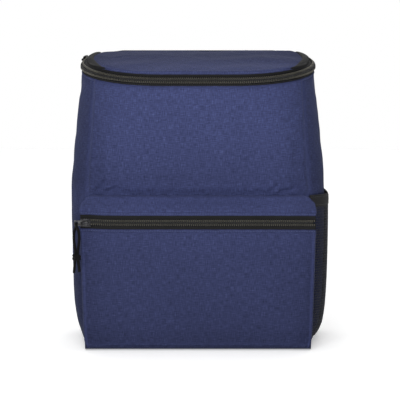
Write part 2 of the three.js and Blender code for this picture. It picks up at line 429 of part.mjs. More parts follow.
// panel sewn across the top of the back, which the pads and the handle are stitched to
add("strap_yoke", box(-98, 98, YB, YB + 2, 294.5, 337), black, harness);
for (const [name, s] of [["left", -1], ["right", 1]]) {
  // padded shoulder strap: a contoured pad that stands off the back a little at mid height
  const line = [[58, 83, 293.5, 26], [61, 88, 270, 29], [66, 92, 240, 30], [74, 93, 205, 30], [84, 90, 170, 28], [93, 84, 140, 24], [98, 81.5, 120, 20]];
  add("strap_pad_" + name, slab(
    line.map(([x, y, z, h]) => [V(s * (x - h), y - 5, z), V(s * x, y - 5, z), V(s * (x + h), y - 5, z)]),
    line.map(([x, y, z, h]) => [V(s * (x - h), y + 4, z), V(s * x, y + 5.5, z), V(s * (x + h), y + 4, z)]),
  ), black, harness);
  // ladder lock: a frame with three bars
  const bx = s * LOCK_X, frame = new THREE.Shape([[-17, -13], [17, -13], [17, 13], [-17, 13]].map(([x, y]) => new THREE.Vector2(x, y)));
  for (const [y0, y1] of [[-9.5, -2.2], [1.4, 9.5]]) frame.holes.push(new THREE.Path([[-13.3, y0], [-13.3, y1], [13.3, y1], [13.3, y0]].map(([x, y]) => new THREE.Vector2(x, y))));
  add("ladder_lock_" + name, new THREE.ExtrudeGeometry(frame, { depth: 3.6, bevelEnabled: false }).rotateX(Math.PI / 2).translate(bx, 84, 105), plastic, harness);
  // short webbing that ties the lock's top bar to the pad
  const ribbon = (pts, half, t) => {
    const edge = (k) => pts.map(([x, y, z], i) => {
      const a = pts[Math.max(i - 1, 0)], b = pts[Math.min(i + 1, pts.length - 1)], ty = b[1] - a[1], tz = b[2] - a[2], l = Math.hypot(ty, tz);
      return [V(s * x - half, y + (k * t * tz) / l, z - (k * t * ty) / l), V(s * x + half, y + (k * t * tz) / l, z - (k * t * ty) / l)];
    });
    return slab(edge(0.5), edge(-0.5));
  };
  add("strap_stub_" + name, ribbon([[LOCK_X, 79.3, 119.6], [LOCK_X, 79.3, 115], [LOCK_X, 80.3, 112.9], [LOCK_X, 82.2, 112.2], [LOCK_X, 84.1, 112.9], [LOCK_X, 85.1, 115], [LOCK_X, 85.1, 119.6]], 12.5, 1.2), black, harness);
  // adjusting webbing: up from the base behind the lock, over its middle bar, and down again as a free end
  add("strap_webbing_" + name, ribbon([[116, 77.5, 30], [108, 77.5, 62], [LOCK_X, 77.5, 98], [LOCK_X, 78.4, 104], [LOCK_X, 79.6, 107.2], [LOCK_X, 82.2, 108.2], [LOCK_X, 84.8, 107.2], [LOCK_X, 85.3, 104.6], [LOCK_X, 84.8, 102], [LOCK_X, 82.2, 101], [LOCK_X, 80.1, 98.4], [LOCK_X, 79.3, 94.4], [LOCK_X, 79.6, 60], [LOCK_X, 79.6, 26]], 12.5, 1.2), black, harness);
  add("anchor_tab_" + name, slab(
    [[V(s * 98, YB, 6), V(s * 136, YB, 6)], [V(s * 102, YB, 29.5), V(s * 130, YB, 29.5)]],
    [[V(s * 98, YB + 3, 6), V(s * 136, YB + 3, 6)], [V(s * 102, YB + 3, 29.5), V(s * 130, YB + 3, 29.5)]],
  ), black, harness);
}
{
  // haul handle: a rolled webbing loop, sewn on at its two ends and hanging down the back
  const path = [[34, 10], ...steps(0, Math.PI, 8).map((a) => [34 * Math.cos(a), -24 * Math.sin(a)]), [-34, 10]];
  add("haul_handle", bar(path.map(([x, z], i) => {
    const a = path[Math.max(i - 1, 0)], b = path[Math.min(i + 1, path.length - 1)], l = Math.hypot(b[0] - a[0], b[1] - a[1]);
    return { p: V(x, YB, HANDLE_Z + z), n: V(0, 1, 0), u: V(-(b[1] - a[1]) / l, 0, (b[0] - a[0]) / l) };
  }), 2.3, 8.3, -5, 5), black, harness);
}

export default bag;
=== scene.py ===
import math
import bpy
import bmesh
import numpy as np
from mathutils import Matrix, Vector


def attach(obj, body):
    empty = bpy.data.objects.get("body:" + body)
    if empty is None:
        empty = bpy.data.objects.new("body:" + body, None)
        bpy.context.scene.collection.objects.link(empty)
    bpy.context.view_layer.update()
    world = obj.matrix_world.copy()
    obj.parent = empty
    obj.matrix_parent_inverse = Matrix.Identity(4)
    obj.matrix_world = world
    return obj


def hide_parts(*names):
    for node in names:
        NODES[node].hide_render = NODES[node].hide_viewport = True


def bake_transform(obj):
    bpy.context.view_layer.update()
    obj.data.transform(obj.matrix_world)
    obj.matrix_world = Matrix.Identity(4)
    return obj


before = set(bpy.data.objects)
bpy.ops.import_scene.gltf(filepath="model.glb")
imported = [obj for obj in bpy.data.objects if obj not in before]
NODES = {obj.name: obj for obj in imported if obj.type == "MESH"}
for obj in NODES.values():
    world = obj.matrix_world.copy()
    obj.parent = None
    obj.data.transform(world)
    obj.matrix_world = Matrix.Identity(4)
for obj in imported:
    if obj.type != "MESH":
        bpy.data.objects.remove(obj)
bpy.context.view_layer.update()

# ------------------------------------------------------------------ camera
cam_data = bpy.data.cameras.new("camera")
cam = bpy.data.objects.new("camera", cam_data)
bpy.context.scene.collection.objects.link(cam)
cam_data.lens = 170
cam_data.sensor_width = 36
ELEVATION, DISTANCE, AIM = math.radians(5), 2.416, Vector((0.0025, 0, 0.176))
cam.location = AIM + Vector((0, -DISTANCE * math.cos(ELEVATION), DISTANCE * math.sin(ELEVATION)))
cam.rotation_euler = (math.pi / 2 - ELEVATION, 0, 0)
bpy.context.scene.camera = cam

# ------------------------------------------------------------------ driving sizes, millimetres
RIM_FRONT_Z, RIM_FRONT_Y, BACK_Y = 322.5, -72.0, 75.0
RIM_SLOPE = math.radians(10.1)
TAN, COS, SIN = math.tan(RIM_SLOPE), math.cos(RIM_SLOPE), math.sin(RIM_SLOPE)
BACK_R, LEAN, ZIP_BAND, SPLIT_H, GAP, CLOTH = 22.0, math.radians(55), 16.6, 8.3, 0.3, 1.2
HALF = ZIP_BAND - SPLIT_H
HALF_WIDTH = [[0, 143], [5, 145], [12, 147.5], [26, 152], [50, 155.3], [90, 157.4], [150, 158.6], [190, 158.8], [213, 157.9], [233, 156.3], [263, 153.8], [294, 151], [322.5, 148.6]]
FRONT_Y = [[0, -73], [60, -76], [190, -76], [260, -74.5], [322.5, RIM_FRONT_Y]]
FRONT_R = [[0, 38], [190, 44], [225, 54], [275, 76], [322.5, 105]]
SEAM_X = [[0, 135], [190, 138], [230, 136], [322.5, 131]]
POCKET_Y, POCKET_BULGE, PK_TOP, PK_BOTTOM = -108.0, 3.0, 144.5, 139.5
PZ0, PZ1, POCKET_BACK_Z = 148.0, 167.3, 188.0
ZIP_MID = (PZ0 + PZ1) / 2
UP = np.array([0.0, -SIN, COS])
UPK = np.array([0.0, 0.0, 1.0])
rng = np.random.RandomState(11)


def curve_of(table):
    xs, ys = np.array([a for a, _ in table], float), np.array([b for _, b in table], float)
    d = np.diff(ys) / np.diff(xs)
    m = np.zeros_like(ys)
    m[0], m[-1] = d[0], d[-1]
    for i in range(1, len(ys) - 1):
        m[i] = 0 if d[i - 1] * d[i] <= 0 else 2 * d[i - 1] * d[i] / (d[i - 1] + d[i])

    def f(x):
        x = min(max(float(x), xs[0]), xs[-1])
        i = min(max(int(np.searchsorted(xs, x, side="right")) - 1, 0), len(xs) - 2)
        h = xs[i + 1] - xs[i]
        s = (x - xs[i]) / h
        return (2 * s**3 - 3 * s**2 + 1) * ys[i] + (s**3 - 2 * s**2 + s) * h * m[i] + (3 * s**2 - 2 * s**3) * ys[i + 1] + (s**3 - s**2) * h * m[i + 1]
    return f


f_w, f_y, f_r, f_s = curve_of(HALF_WIDTH), curve_of(FRONT_Y), curve_of(FRONT_R), curve_of(SEAM_X)
smooth = lambda x: x * x * (3 - 2 * x)
clamp = lambda x, a=0.0, b=1.0: np.minimum(np.maximum(x, a), b)
rim_z = lambda y: RIM_FRONT_Z + (y - RIM_FRONT_Y) * TAN
rim_share = lambda t: float(smooth(clamp((t - 0.66) / 0.34)))


def at(t):
    z = t * RIM_FRONT_Z
    w, yf, R, xs = f_w(z), f_y(z), f_r(z), f_s(z)
    return w, yf, R, R * (1 - (1 - COS) * t), math.asin((xs - (w - R)) / R)


def lift(xy, t, h=0.0):
    xy = np.asarray(xy, float)
    out = np.empty(xy.shape[:-1] + (3,))
    out[..., 0], out[..., 1] = xy[..., 0], xy[..., 1] - SIN * h
    out[..., 2] = t * (RIM_FRONT_Z + (xy[..., 1] - RIM_FRONT_Y) * TAN) + COS * h
    return out


def resample(pts, n):
    pts = np.asarray(pts, float)
    s = np.concatenate([[0], np.cumsum(np.linalg.norm(np.diff(pts, axis=0), axis=1))])
    q = np.linspace(0, s[-1], n)
    return np.stack([np.interp(q, s, pts[:, k]) for k in range(pts.shape[1])], -1)


def rim_end(t, d):
    w, yf, R, ry, _ = at(t)
    return math.asin(min(1, (BACK_Y - d - yf - ry) / (ry - d)))


def rear_point(t, d, share):
    w, yf, R, ry, _ = at(t)
    R1, full = FRONT_R[-1][1], rim_end(1.0, d)
    b = full * share
    return np.stack([w - R1 + (R1 - d) * np.cos(b), yf + ry + (BACK_Y - d - yf - ry) * np.sin(b) / math.sin(full)], -1)


def front_plan(t, d, n):
    w, yf, R, ry, seam = at(t)
    cx = w - R
    a = np.linspace(seam, 0, 40)
    arc = np.stack([cx + (R - d) * np.sin(a), yf + ry - (ry - d) * np.cos(a)], -1)
    left = arc * [-1, 1]
    mid = np.stack([np.linspace(-cx, cx, 40)[1:-1], np.full(38, yf + d)], -1)
    return resample(np.concatenate([left, mid, arc[::-1]]), n)


def side_raw(t, d, sign):
    w, yf, R, ry, seam = at(t)
    cx = w - R
    a = np.linspace(seam, math.pi / 2, 30)
    arc = np.stack([cx + (R - d) * np.sin(a), yf + ry - (ry - d) * np.cos(a)], -1)
    s = np.linspace(0, 5, 61)[1:]
    low = np.array([[w - d, yf + ry + (BACK_Y - BACK_R - yf - ry) * q / 2] if q < 2 else
                    [w - BACK_R + (BACK_R - d) * math.cos((q - 2) / 3 * math.pi / 4), BACK_Y - BACK_R + (BACK_R - d) * math.sin((q - 2) / 3 * math.pi / 4)] for q in s])
    high = rear_point(t, d, s / 5)
    k = rim_share(t)
    return np.concatenate([arc, low + (high - low) * k]) * [sign, 1]


def side_plan(t, d, n, sign):
    return resample(side_raw(t, d, sign), n)


def back_plan(t, d, n):
    w, yf, R, ry, _ = at(t)
    s = np.linspace(0, 3, 24)
    a = math.pi / 4 + s / 3 * math.pi / 4
    low = np.stack([w - BACK_R + (BACK_R - d) * np.cos(a), BACK_Y - BACK_R + (BACK_R - d) * np.sin(a)], -1)
    xc = rear_point(t, d, 1.0)[0]
    high = np.stack([xc - 7 * s, np.full(24, BACK_Y - d)], -1)
    arc = low + (high - low) * rim_share(t)
    e = arc[-1, 0]
    mid = np.stack([np.linspace(-e, e, 40)[1:-1], np.full(38, BACK_Y - d)], -1)
    return resample(np.concatenate([arc * [-1, 1], mid, arc[::-1]]), n)


def ring_plan(t, d, nf=80, ns=60, nb=60):
    return np.concatenate([front_plan(t, d, nf), side_plan(t, d, ns, 1)[1:], back_plan(t, d, nb)[::-1][1:], side_plan(t, d, ns, -1)[::-1][1:-1]])


# ------------------------------------------------------------------ materials
def lin(*c):
    return tuple(((v / 255 + 0.055) / 1.055) ** 2.4 if v > 10.3 else v / 255 / 12.92 for v in c)


class Nodes:
    """Small helper that builds a shader by links."""

    def __init__(self, name, **fixed):
        self.m = bpy.data.materials.new(name)
        self.m.use_nodes = True
        self.t = self.m.node_tree
        self.b = self.t.nodes["Principled BSDF"]
        for k, v in fixed.items():
            self.b.inputs[k.replace("_", " ")].default_value = v

    def n(self, kind, ins=(), **props):
        x = self.t.nodes.new(kind)
        for k, v in props.items():
            setattr(x, k, v)
        for k, v in (ins.items() if isinstance(ins, dict) else enumerate(ins)):
            if v is None:
                continue
            if isinstance(v, bpy.types.NodeSocket):
                self.t.links.new(v, x.inputs[k])
            else:
                x.inputs[k].default_value = v
        return x

    def uv(self, scale=(1, 1, 1), source="weave"):
        if source == "object":
            v = self.n("ShaderNodeTexCoord").outputs["Object"]
        else:
            v = self.n("ShaderNodeUVMap", uv_map=source).outputs[0]
        return self.n("ShaderNodeMapping", {"Vector": v, "Scale": scale}).outputs[0]

    def noise(self, vec, scale=1.0, detail=2.0, rough=0.5, distortion=0.0):
        return self.n("ShaderNodeTexNoise", {"Vector": vec, "Scale": scale, "Detail": detail, "Roughness": rough, "Distortion": distortion}).outputs["Fac"]

    def math(self, op, a, b=None, c=None):
        return self.n("ShaderNodeMath", [a, b, c][: 3 if c is not None else 2], operation=op).outputs[0]

    def ramp(self, fac, *stops):
        x = self.n("ShaderNodeValToRGB", {0: fac})
        r = x.color_ramp
        while len(r.elements) < len(stops):
            r.elements.new(0.5)
        for e, (p, c) in zip(r.elements, stops):
            e.position = p
            e.color = (*c, 1) if len(c) == 3 else c
        return x.outputs[0]

    def rng(self, fac, a, b, lo=0.0, hi=1.0):
        return self.n("ShaderNodeMapRange", {0: fac, 1: lo, 2: hi, 3: a, 4: b}).outputs[0]

    def mix(self, fac, a, b, blend="MIX"):
        x = self.n("ShaderNodeMix", data_type="RGBA", blend_type=blend)
        for i, v in ((0, fac), (6, a), (7, b)):
            if isinstance(v, bpy.types.NodeSocket):
                self.t.links.new(v, x.inputs[i])
            else:
                x.inputs[i].default_value = v if i == 0 else (*v, 1)
        return x.outputs[2]

    def weave(self, pu, pv):
        """over and under of plain weave, 0 to 1, pitches in metres"""
        s = self.n("ShaderNodeSeparateXYZ", [self.uv()])
        a = self.math("SINE", self.math("MULTIPLY", s.outputs[0], math.pi / pu))
        b = self.math("SINE", self.math("MULTIPLY", s.outputs[1], math.pi / pv))
        return self.rng(self.math("MULTIPLY", a, b), 0, 1, -1, 1)

    def bump(self, height, strength, distance, normal=None):
        ins = {"Height": height, "Strength": strength, "Distance": distance}
        if normal is not None:
            ins["Normal"] = normal
        return self.n("ShaderNodeBump", ins).outputs[0]

    def put(self, color=None, rough=None, normal=None):
        for k, v in (("Base Color", color), ("Roughness", rough), ("Normal", normal)):
            if v is not None:
                self.t.links.new(v, self.b.inputs[k])
        return self.m


def scaled(c, k):
    return tuple(min(1.0, v * k) for v in c)


def canvas(name, base, pitch=0.00055, slub=1.0):
    """Heathered plain-weave canvas: dark and light yarns in both directions, slubs, painted shade by height and towards
    the sides, and a painted highlight along seams.
    """
    m = Nodes(name, Roughness=0.88, Specular_IOR_Level=0.12, Sheen_Weight=0.05, Sheen_Roughness=0.45)
    m.b.inputs["Sheen Tint"].default_value = (0.55, 0.62, 0.95, 1)
    warp = m.noise(m.uv((1200, 125, 1)), detail=1.0, rough=0.5)
    weft = m.noise(m.uv((130, 1150, 7)), detail=1.0, rough=0.5)
    fleck = m.noise(m.uv((1300, 1300, 3)), detail=1, rough=0.5)
    broad = m.noise(m.uv((14, 11, 5)), detail=3, rough=0.5)
    yarn = m.math("ADD", m.math("MULTIPLY", warp, 0.44), m.math("ADD", m.math("MULTIPLY", weft, 0.44), m.math("MULTIPLY", fleck, 0.12)))
    col = m.ramp(m.rng(yarn, 0, 1, 0.5 - 0.2 / slub, 0.5 + 0.2 / slub), (0.0, scaled(base, 0.52)), (0.45, scaled(base, 0.93)), (0.72, scaled(base, 1.2)), (1.0, tuple(scaled(base, 1.75)[i] * (1.12, 1.08, 0.98)[i] for i in range(3))))
    col = m.mix(1.0, col, m.ramp(broad, (0.25, (0.93, 0.93, 0.93)), (0.75, (1.06, 1.06, 1.06))), "MULTIPLY")
    # painted shade and light by height: darker towards the bottom, a lighter band at the pocket's top, painted shade
    # just above it and over the lid's top
    height = m.n("ShaderNodeSeparateXYZ", [m.n("ShaderNodeTexCoord").outputs["Object"]]).outputs[2]
    fade = m.ramp(m.math("DIVIDE", height, 0.37), (0.0, (0.50,) * 3), (0.10, (0.62,) * 3), (0.30, (0.70,) * 3), (0.42, (0.80,) * 3), (0.50, (1.02,) * 3), (0.56, (0.78,) * 3), (0.72, (0.93,) * 3), (0.88, (1.02,) * 3), (0.94, (0.74,) * 3), (0.97, (0.50,) * 3))
    col = m.mix(1.0, col, fade, "MULTIPLY")
    # painted shade towards the sides: the colour darkens as |x| grows, where the panels turn away from the light
    across = m.math("ABSOLUTE", m.n("ShaderNodeSeparateXYZ", [m.n("ShaderNodeTexCoord").outputs["Object"]]).outputs[0])
    col = m.mix(1.0, col, m.ramp(m.math("DIVIDE", across, 0.165), (0.0, (1.0,) * 3), (0.5, (1.0,) * 3), (0.66, (0.96,) * 3), (0.76, (0.88,) * 3), (0.88, (0.78,) * 3), (1.0, (0.72,) * 3)), "MULTIPLY")
    # painted highlight along seam edges, weighted by the 'edge' attribute
    seam_highlight = m.n("ShaderNodeAttribute", attribute_name="edge").outputs["Fac"]
    col = m.mix(m.math("MULTIPLY", seam_highlight, 0.22), col, tuple(scaled(base, 1.75)))
    over = m.weave(pitch, pitch)
    h = m.math("ADD", m.math("MULTIPLY", over, 0.6), m.math("MULTIPLY", yarn, 0.9))
    rough = m.rng(yarn, 0.95, 0.78)
    return m.put(col, rough, m.bump(h, 0.55, 0.00035))


def plain_weave(name, base, pitch, rough=0.8, spec=0.3, light=1.5, dark=0.6, depth=0.0003, strength=0.6, ribs=None):
    m = Nodes(name, Roughness=rough, Specular_IOR_Level=spec, Sheen_Weight=0.02, Sheen_Roughness=0.5)
    over = m.weave(pitch[0], pitch[1])
    n1 = m.noise(m.uv((900, 160, 1)), detail=2, rough=0.6)
    n2 = m.noise(m.uv((30, 30, 4)), detail=3)
    # colour partly follows the weave's height: painted shade in the hollows between yarns
    v = m.math("ADD", m.math("MULTIPLY", over, 0.5), m.math("MULTIPLY", n1, 0.5))
    col = m.ramp(v, (0.25, scaled(base, dark)), (0.75, scaled(base, light)))
    col = m.mix(1.0, col, m.ramp(n2, (0.3, (0.9, 0.9, 0.9)), (0.7, (1.1, 1.1, 1.1))), "MULTIPLY")
    h = over
    if ribs:
        s = m.n("ShaderNodeSeparateXYZ", [m.uv()]).outputs[ribs[0]]
        rib = m.math("ABSOLUTE", m.math("SINE", m.math("MULTIPLY", s, math.pi / ribs[1])))
        h = m.math("ADD", m.math("MULTIPLY", over, 0.4), m.math("MULTIPLY", rib, 1.2))
        # rib grooves darkened: painted shade
        col = m.mix(1.0, col, m.ramp(rib, (0.0, (0.55, 0.55, 0.55)), (0.5, (1.08, 1.08, 1.08))), "MULTIPLY")
    return m.put(col, m.rng(n1, rough - 0.1, min(1, rough + 0.1)), m.bump(h, strength, depth))


NAVY = lin(60.5, 67, 106.5)
M = {}
M["shell_cloth"] = canvas("shell_cloth_look", NAVY)
# darker copy of the same canvas for side panels, pocket sides, cheeks and pocket floor: painted shade
M["shell_cloth_side"] = canvas("shell_cloth_painted_shade_look", scaled(NAVY, 0.84))
M["black_cloth"] = plain_weave("black_cloth_look", lin(30, 30, 33), (0.0007, 0.0007))
M["zip_tape"] = plain_weave("zip_tape_look", lin(25, 25, 26), (0.0008, 0.00045), rough=0.72, spec=0.14, depth=0.0002, strength=0.5)
M["liner"] = None
M["webbing"] = plain_weave("webbing_look", lin(38, 38, 41), (0.0011, 0.0008), rough=0.62, spec=0.45, light=1.7, depth=0.0005, ribs=(0, 0.0026))
M["elastic"] = plain_weave("elastic_look", lin(25, 25, 28), (0.0006, 0.0009), rough=0.8, ribs=(1, 0.0016))
M["strap_padding"] = None


def coil_look():
    m = Nodes("zip_coil_look", Roughness=0.32, Specular_IOR_Level=0.55)
    n = m.noise(m.uv((420, 420, 420), "object"), detail=2)
    return m.put(m.ramp(n, (0.3, lin(12, 12, 12)), (0.7, lin(24, 24, 25))), m.rng(n, 0.24, 0.46), m.bump(m.noise(m.uv((2600, 2600, 2600), "object")), 0.15, 0.0001))


def thread_look(name, a, b):
    m = Nodes(name, Roughness=0.7, Specular_IOR_Level=0.3, Sheen_Weight=0.1)
    n = m.noise(m.uv((1500, 1500, 1500), "object"), detail=2)
    return m.put(m.ramp(n, (0.3, a), (0.7, b)), None, m.bump(n, 0.4, 0.0002))


def metal_look(name, a, b, rough, metallic=1.0, grain=(300, 300, 3000)):
    m = Nodes(name, Metallic=metallic, Roughness=rough)
    n = m.noise(m.uv(grain, "object"), detail=3, rough=0.6)
    e = m.noise(m.uv((160, 160, 160), "object"), detail=4, rough=0.7)
    col = m.mix(m.rng(e, 0, 1, 0.42, 0.68), a, b)
    return m.put(col, m.rng(n, max(0.05, rough - 0.1), rough + 0.14), m.bump(n, 0.12, 0.0001))


def foam_look():
    m = Nodes("foam_look", Roughness=0.75, Specular_IOR_Level=0.35, Subsurface_Weight=0.08, Subsurface_Scale=0.004)
    v = m.n("ShaderNodeTexVoronoi", {"Vector": m.uv((900, 900, 900), "object"), "Scale": 1.0}).outputs["Distance"]
    n = m.noise(m.uv((40, 40, 40), "object"), detail=3)
    return m.put(m.ramp(n, (0.3, lin(214, 214, 208)), (0.7, lin(232, 232, 228))), None, m.bump(v, 0.4, 0.0004))


def film_look(name, a, b):
    """Silver-grey film with an embossed grid and soft crinkles."""
    m = Nodes(name, Roughness=0.34, Specular_IOR_Level=0.5, Metallic=0.25, Coat_Weight=0.15, Coat_Roughness=0.25)
    crink = m.noise(m.uv((26, 34, 1)), detail=3, rough=0.5, distortion=0.35)
    fine = m.noise(m.uv((420, 420, 1)), detail=2)
    # colour follows the crinkles: painted shade in their hollows
    col = m.ramp(crink, (0.3, a), (0.7, b))
    nrm = m.bump(m.weave(0.0011, 0.0011), 0.18, 0.0001)
    nrm = m.bump(crink, 0.30, 0.0025, nrm)
    return m.put(col, m.rng(fine, 0.26, 0.44), nrm)


def board_look():
    m = Nodes("base_board_look", Roughness=0.5)
    n = m.noise(m.uv((25, 25, 25), "object"), detail=4)
    return m.put(m.ramp(n, (0.3, lin(205, 205, 198)), (0.7, lin(222, 222, 216))), None, m.bump(m.noise(m.uv((900, 900, 900), "object")), 0.3, 0.0002))


def spacer_look():
    """Black spacer mesh of the straps: small round holes on a hexagonal grid."""
    m = Nodes("spacer_mesh_look", Roughness=0.82, Specular_IOR_Level=0.25, Sheen_Weight=0.12)
    v = m.n("ShaderNodeTexVoronoi", {"Vector": m.uv((420, 420, 1)), "Scale": 1.0, "Randomness": 0.15}, voronoi_dimensions="2D").outputs["Distance"]
    hole = m.rng(v, 0, 1, 0.18, 0.42)
    n = m.noise(m.uv((300, 300, 1)), detail=2)
    # holes coloured near black: painted shade inside the holes
    col = m.mix(hole, lin(14, 14, 16), m.ramp(n, (0.3, lin(38, 38, 41)), (0.7, lin(56, 56, 60))))
    return m.put(col, None, m.bump(hole, 0.8, 0.0008))


def cord_look():
    """Braided polyester: strands crossing on the diagonal."""
    m = Nodes("cord_look", Roughness=0.75, Specular_IOR_Level=0.15)
    s = m.n("ShaderNodeSeparateXYZ", [m.uv()])
    u = m.math("MULTIPLY", s.outputs[0], 2 * math.pi * 4)
    v = m.math("MULTIPLY", s.outputs[1], 2 * math.pi / 0.0036)
    a = m.math("ABSOLUTE", m.math("SINE", m.math("ADD", u, v)))
    b = m.math("ABSOLUTE", m.math("SINE", m.math("SUBTRACT", u, v)))
    h = m.math("MINIMUM", a, b)
    # darker between the strands: painted shade in the braid's grooves
    col = m.ramp(h, (0.0, lin(6, 6, 6)), (0.35, lin(12, 12, 12)), (0.9, lin(24, 24, 25)))
    return m.put(col, None, m.bump(h, 0.9, 0.0005))


def plastic_look():
    m = Nodes("buckle_look", Roughness=0.42, Specular_IOR_Level=0.5)
    n = m.noise(m.uv((1400, 1400, 1400), "object"), detail=2)
    w = m.noise(m.uv((90, 90, 90), "object"), detail=4)
    return m.put(m.ramp(w, (0.3, lin(24, 24, 25)), (0.75, lin(33, 33, 34))), m.rng(w, 0.34, 0.52), m.bump(n, 0.25, 0.00015))


def net_look():
    m = Nodes("mesh_look", Roughness=0.62, Specular_IOR_Level=0.4, Sheen_Weight=0.1)
    n = m.noise(m.uv((1500, 1500, 1500), "object"), detail=2)
    return m.put(m.ramp(n, (0.3, lin(18, 19, 24)), (0.7, lin(44, 46, 56))), None, m.bump(n, 0.5, 0.0002))


M["zip_coil"] = coil_look()
# pale thread colour stands in for glints on the zip coil: painted highlight
M["coil_painted_glint_thread"] = thread_look("coil_painted_glint_thread_look", lin(84, 80, 68), lin(138, 134, 118))
M["seam_thread"] = thread_look("seam_thread_look", lin(48, 55, 90), lin(84, 92, 134))
M["black_thread"] = thread_look("black_thread_look", lin(34, 34, 36), lin(66, 66, 70))
M["slider_metal"] = metal_look("slider_look", lin(40, 40, 42), lin(74, 74, 76), 0.34, 0.85)
M["tab_metal"] = metal_look("tab_look", lin(62, 62, 63), lin(112, 112, 112), 0.30)
M["foam"] = foam_look()
M["liner"] = film_look("liner_look", lin(176, 182, 188), lin(206, 211, 216))
M["base_board"] = board_look()
M["strap_padding"] = spacer_look()
M["cord"] = cord_look()
M["buckle"] = plastic_look()
M["mesh"] = net_look()


# ------------------------------------------------------------------ mesh tools
def mesh_object(name, verts, faces, mat, body=None, replaces=(), uv=None, flat_faces=(), edge=None):
    me = bpy.data.meshes.new(name)
    me.from_pydata((np.asarray(verts) * 0.001).tolist(), [], [list(map(int, f)) for f in faces])
    me.validate()
    me.update()
    me.polygons.foreach_set("use_smooth", np.ones(len(me.polygons), bool))
    if uv is not None:
        layer = me.uv_layers.new(name="weave")
        idx = np.zeros(len(me.loops), np.int32)
        me.loops.foreach_get("vertex_index", idx)
        layer.data.foreach_set("uv", (np.asarray(uv, float)[idx] * 0.001).astype(np.float32).ravel())
    # weight near seams; the canvas lightens by it as a painted highlight
    at_ = me.attributes.new("edge", "FLOAT", "POINT")
    at_.data.foreach_set("value", (np.zeros(len(me.vertices)) if edge is None else np.asarray(edge, float)).astype(np.float32))
    for i in flat_faces:
        if i < len(me.polygons):
            me.polygons[i].use_smooth = False
    ob = bpy.data.objects.new(name, me)
    bpy.context.scene.collection.objects.link(ob)
    me.materials.append(M[mat] if isinstance(mat, str) else mat)
    if body:
        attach(ob, body)
    if replaces:
        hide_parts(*replaces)
    return ob


def fix_normals(ob):
    bm = bmesh.new()
    bm.from_mesh(ob.data)
    bmesh.ops.recalc_face_normals(bm, faces=bm.faces)
    bm.to_mesh(ob.data)
    bm.free()
    ob.data.update()


def normals(P, outward):
    du = np.gradient(P, axis=0)
    dv = np.gradient(P, axis=1)
    n = np.cross(du, dv)
    n /= np.maximum(np.linalg.norm(n, axis=2, keepdims=True), 1e-9)
    if (n * outward).sum() < 0:
        n = -n
    return n


def grid_faces(nu, nv, off=0, flip=False):
    i, j = np.meshgrid(np.arange(nu - 1), np.arange(nv - 1), indexing="ij")
    a = (i * nv + j).ravel() + off
    q = np.stack([a, a + nv, a + nv + 1, a + 1], -1)
    return q[:, ::-1] if flip else q


def arc_uv(P):
    u = np.concatenate([np.zeros((1, P.shape[1])), np.cumsum(np.linalg.norm(np.diff(P, axis=0), axis=2), 0)], 0)
    u = u - u[P.shape[0] // 2][None]
    v = np.concatenate([np.zeros((P.shape[0], 1)), np.cumsum(np.linalg.norm(np.diff(P, axis=1), axis=2), 1)], 1)
    v = v.mean(0)[None] + 0 * v
    return np.stack([u, v], -1)


def shell(name, P, thick, outward, mat, body=None, replaces=(), edge=None, uv=None, roll=0.45):
    """A sheet of cloth with thickness, its free edges rounded. P is the outer face."""
    P = np.asarray(P, float)
    N = normals(P, np.asarray(outward, float))
    nu, nv = P.shape[:2]
    Q = P - N * thick
    V = np.concatenate([P.reshape(-1, 3), Q.reshape(-1, 3)])
    F = list(grid_faces(nu, nv)) + list(grid_faces(nu, nv, nu * nv, True))
    i = lambda a, b, k=0: k * nu * nv + a * nv + b
    # rounded rim: an extra row of points half way through the thickness, pushed out a little
    loop = [(a, 0) for a in range(nu)] + [(nu - 1, b) for b in range(1, nv)] + [(a, nv - 1) for a in range(nu - 2, -1, -1)] + [(0, b) for b in range(nv - 2, 0, -1)]
    extra = []
    for a, b in loop:
        ia, ib = min(max(a, 1), nu - 2), min(max(b, 1), nv - 2)
        d = P[a, b] - P[ia, ib]
        l = np.linalg.norm(d)
        extra.append((P[a, b] + Q[a, b]) / 2 + d / max(l, 1e-6) * thick * roll)
    base = len(V)
    V = np.concatenate([V, np.array(extra)])
    L = len(loop)
    for k in range(L):
        (a, b), (c, d) = loop[k], loop[(k + 1) % L]
        m0, m1 = base + k, base + (k + 1) % L
        F.append([i(a, b), i(c, d), m1, m0])
        F.append([m0, m1, i(c, d, 1), i(a, b, 1)])
    if uv is None:
        uv = arc_uv(P)
    U = np.concatenate([uv.reshape(-1, 2), uv.reshape(-1, 2), np.array([uv[a, b] for a, b in loop])])
    E = None
    if edge is not None:
        E = np.concatenate([edge.ravel(), edge.ravel(), np.array([edge[a, b] for a, b in loop])])
    ob = mesh_object(name, V, F, mat, body, replaces, U, edge=E)
    fix_normals(ob)
    return ob


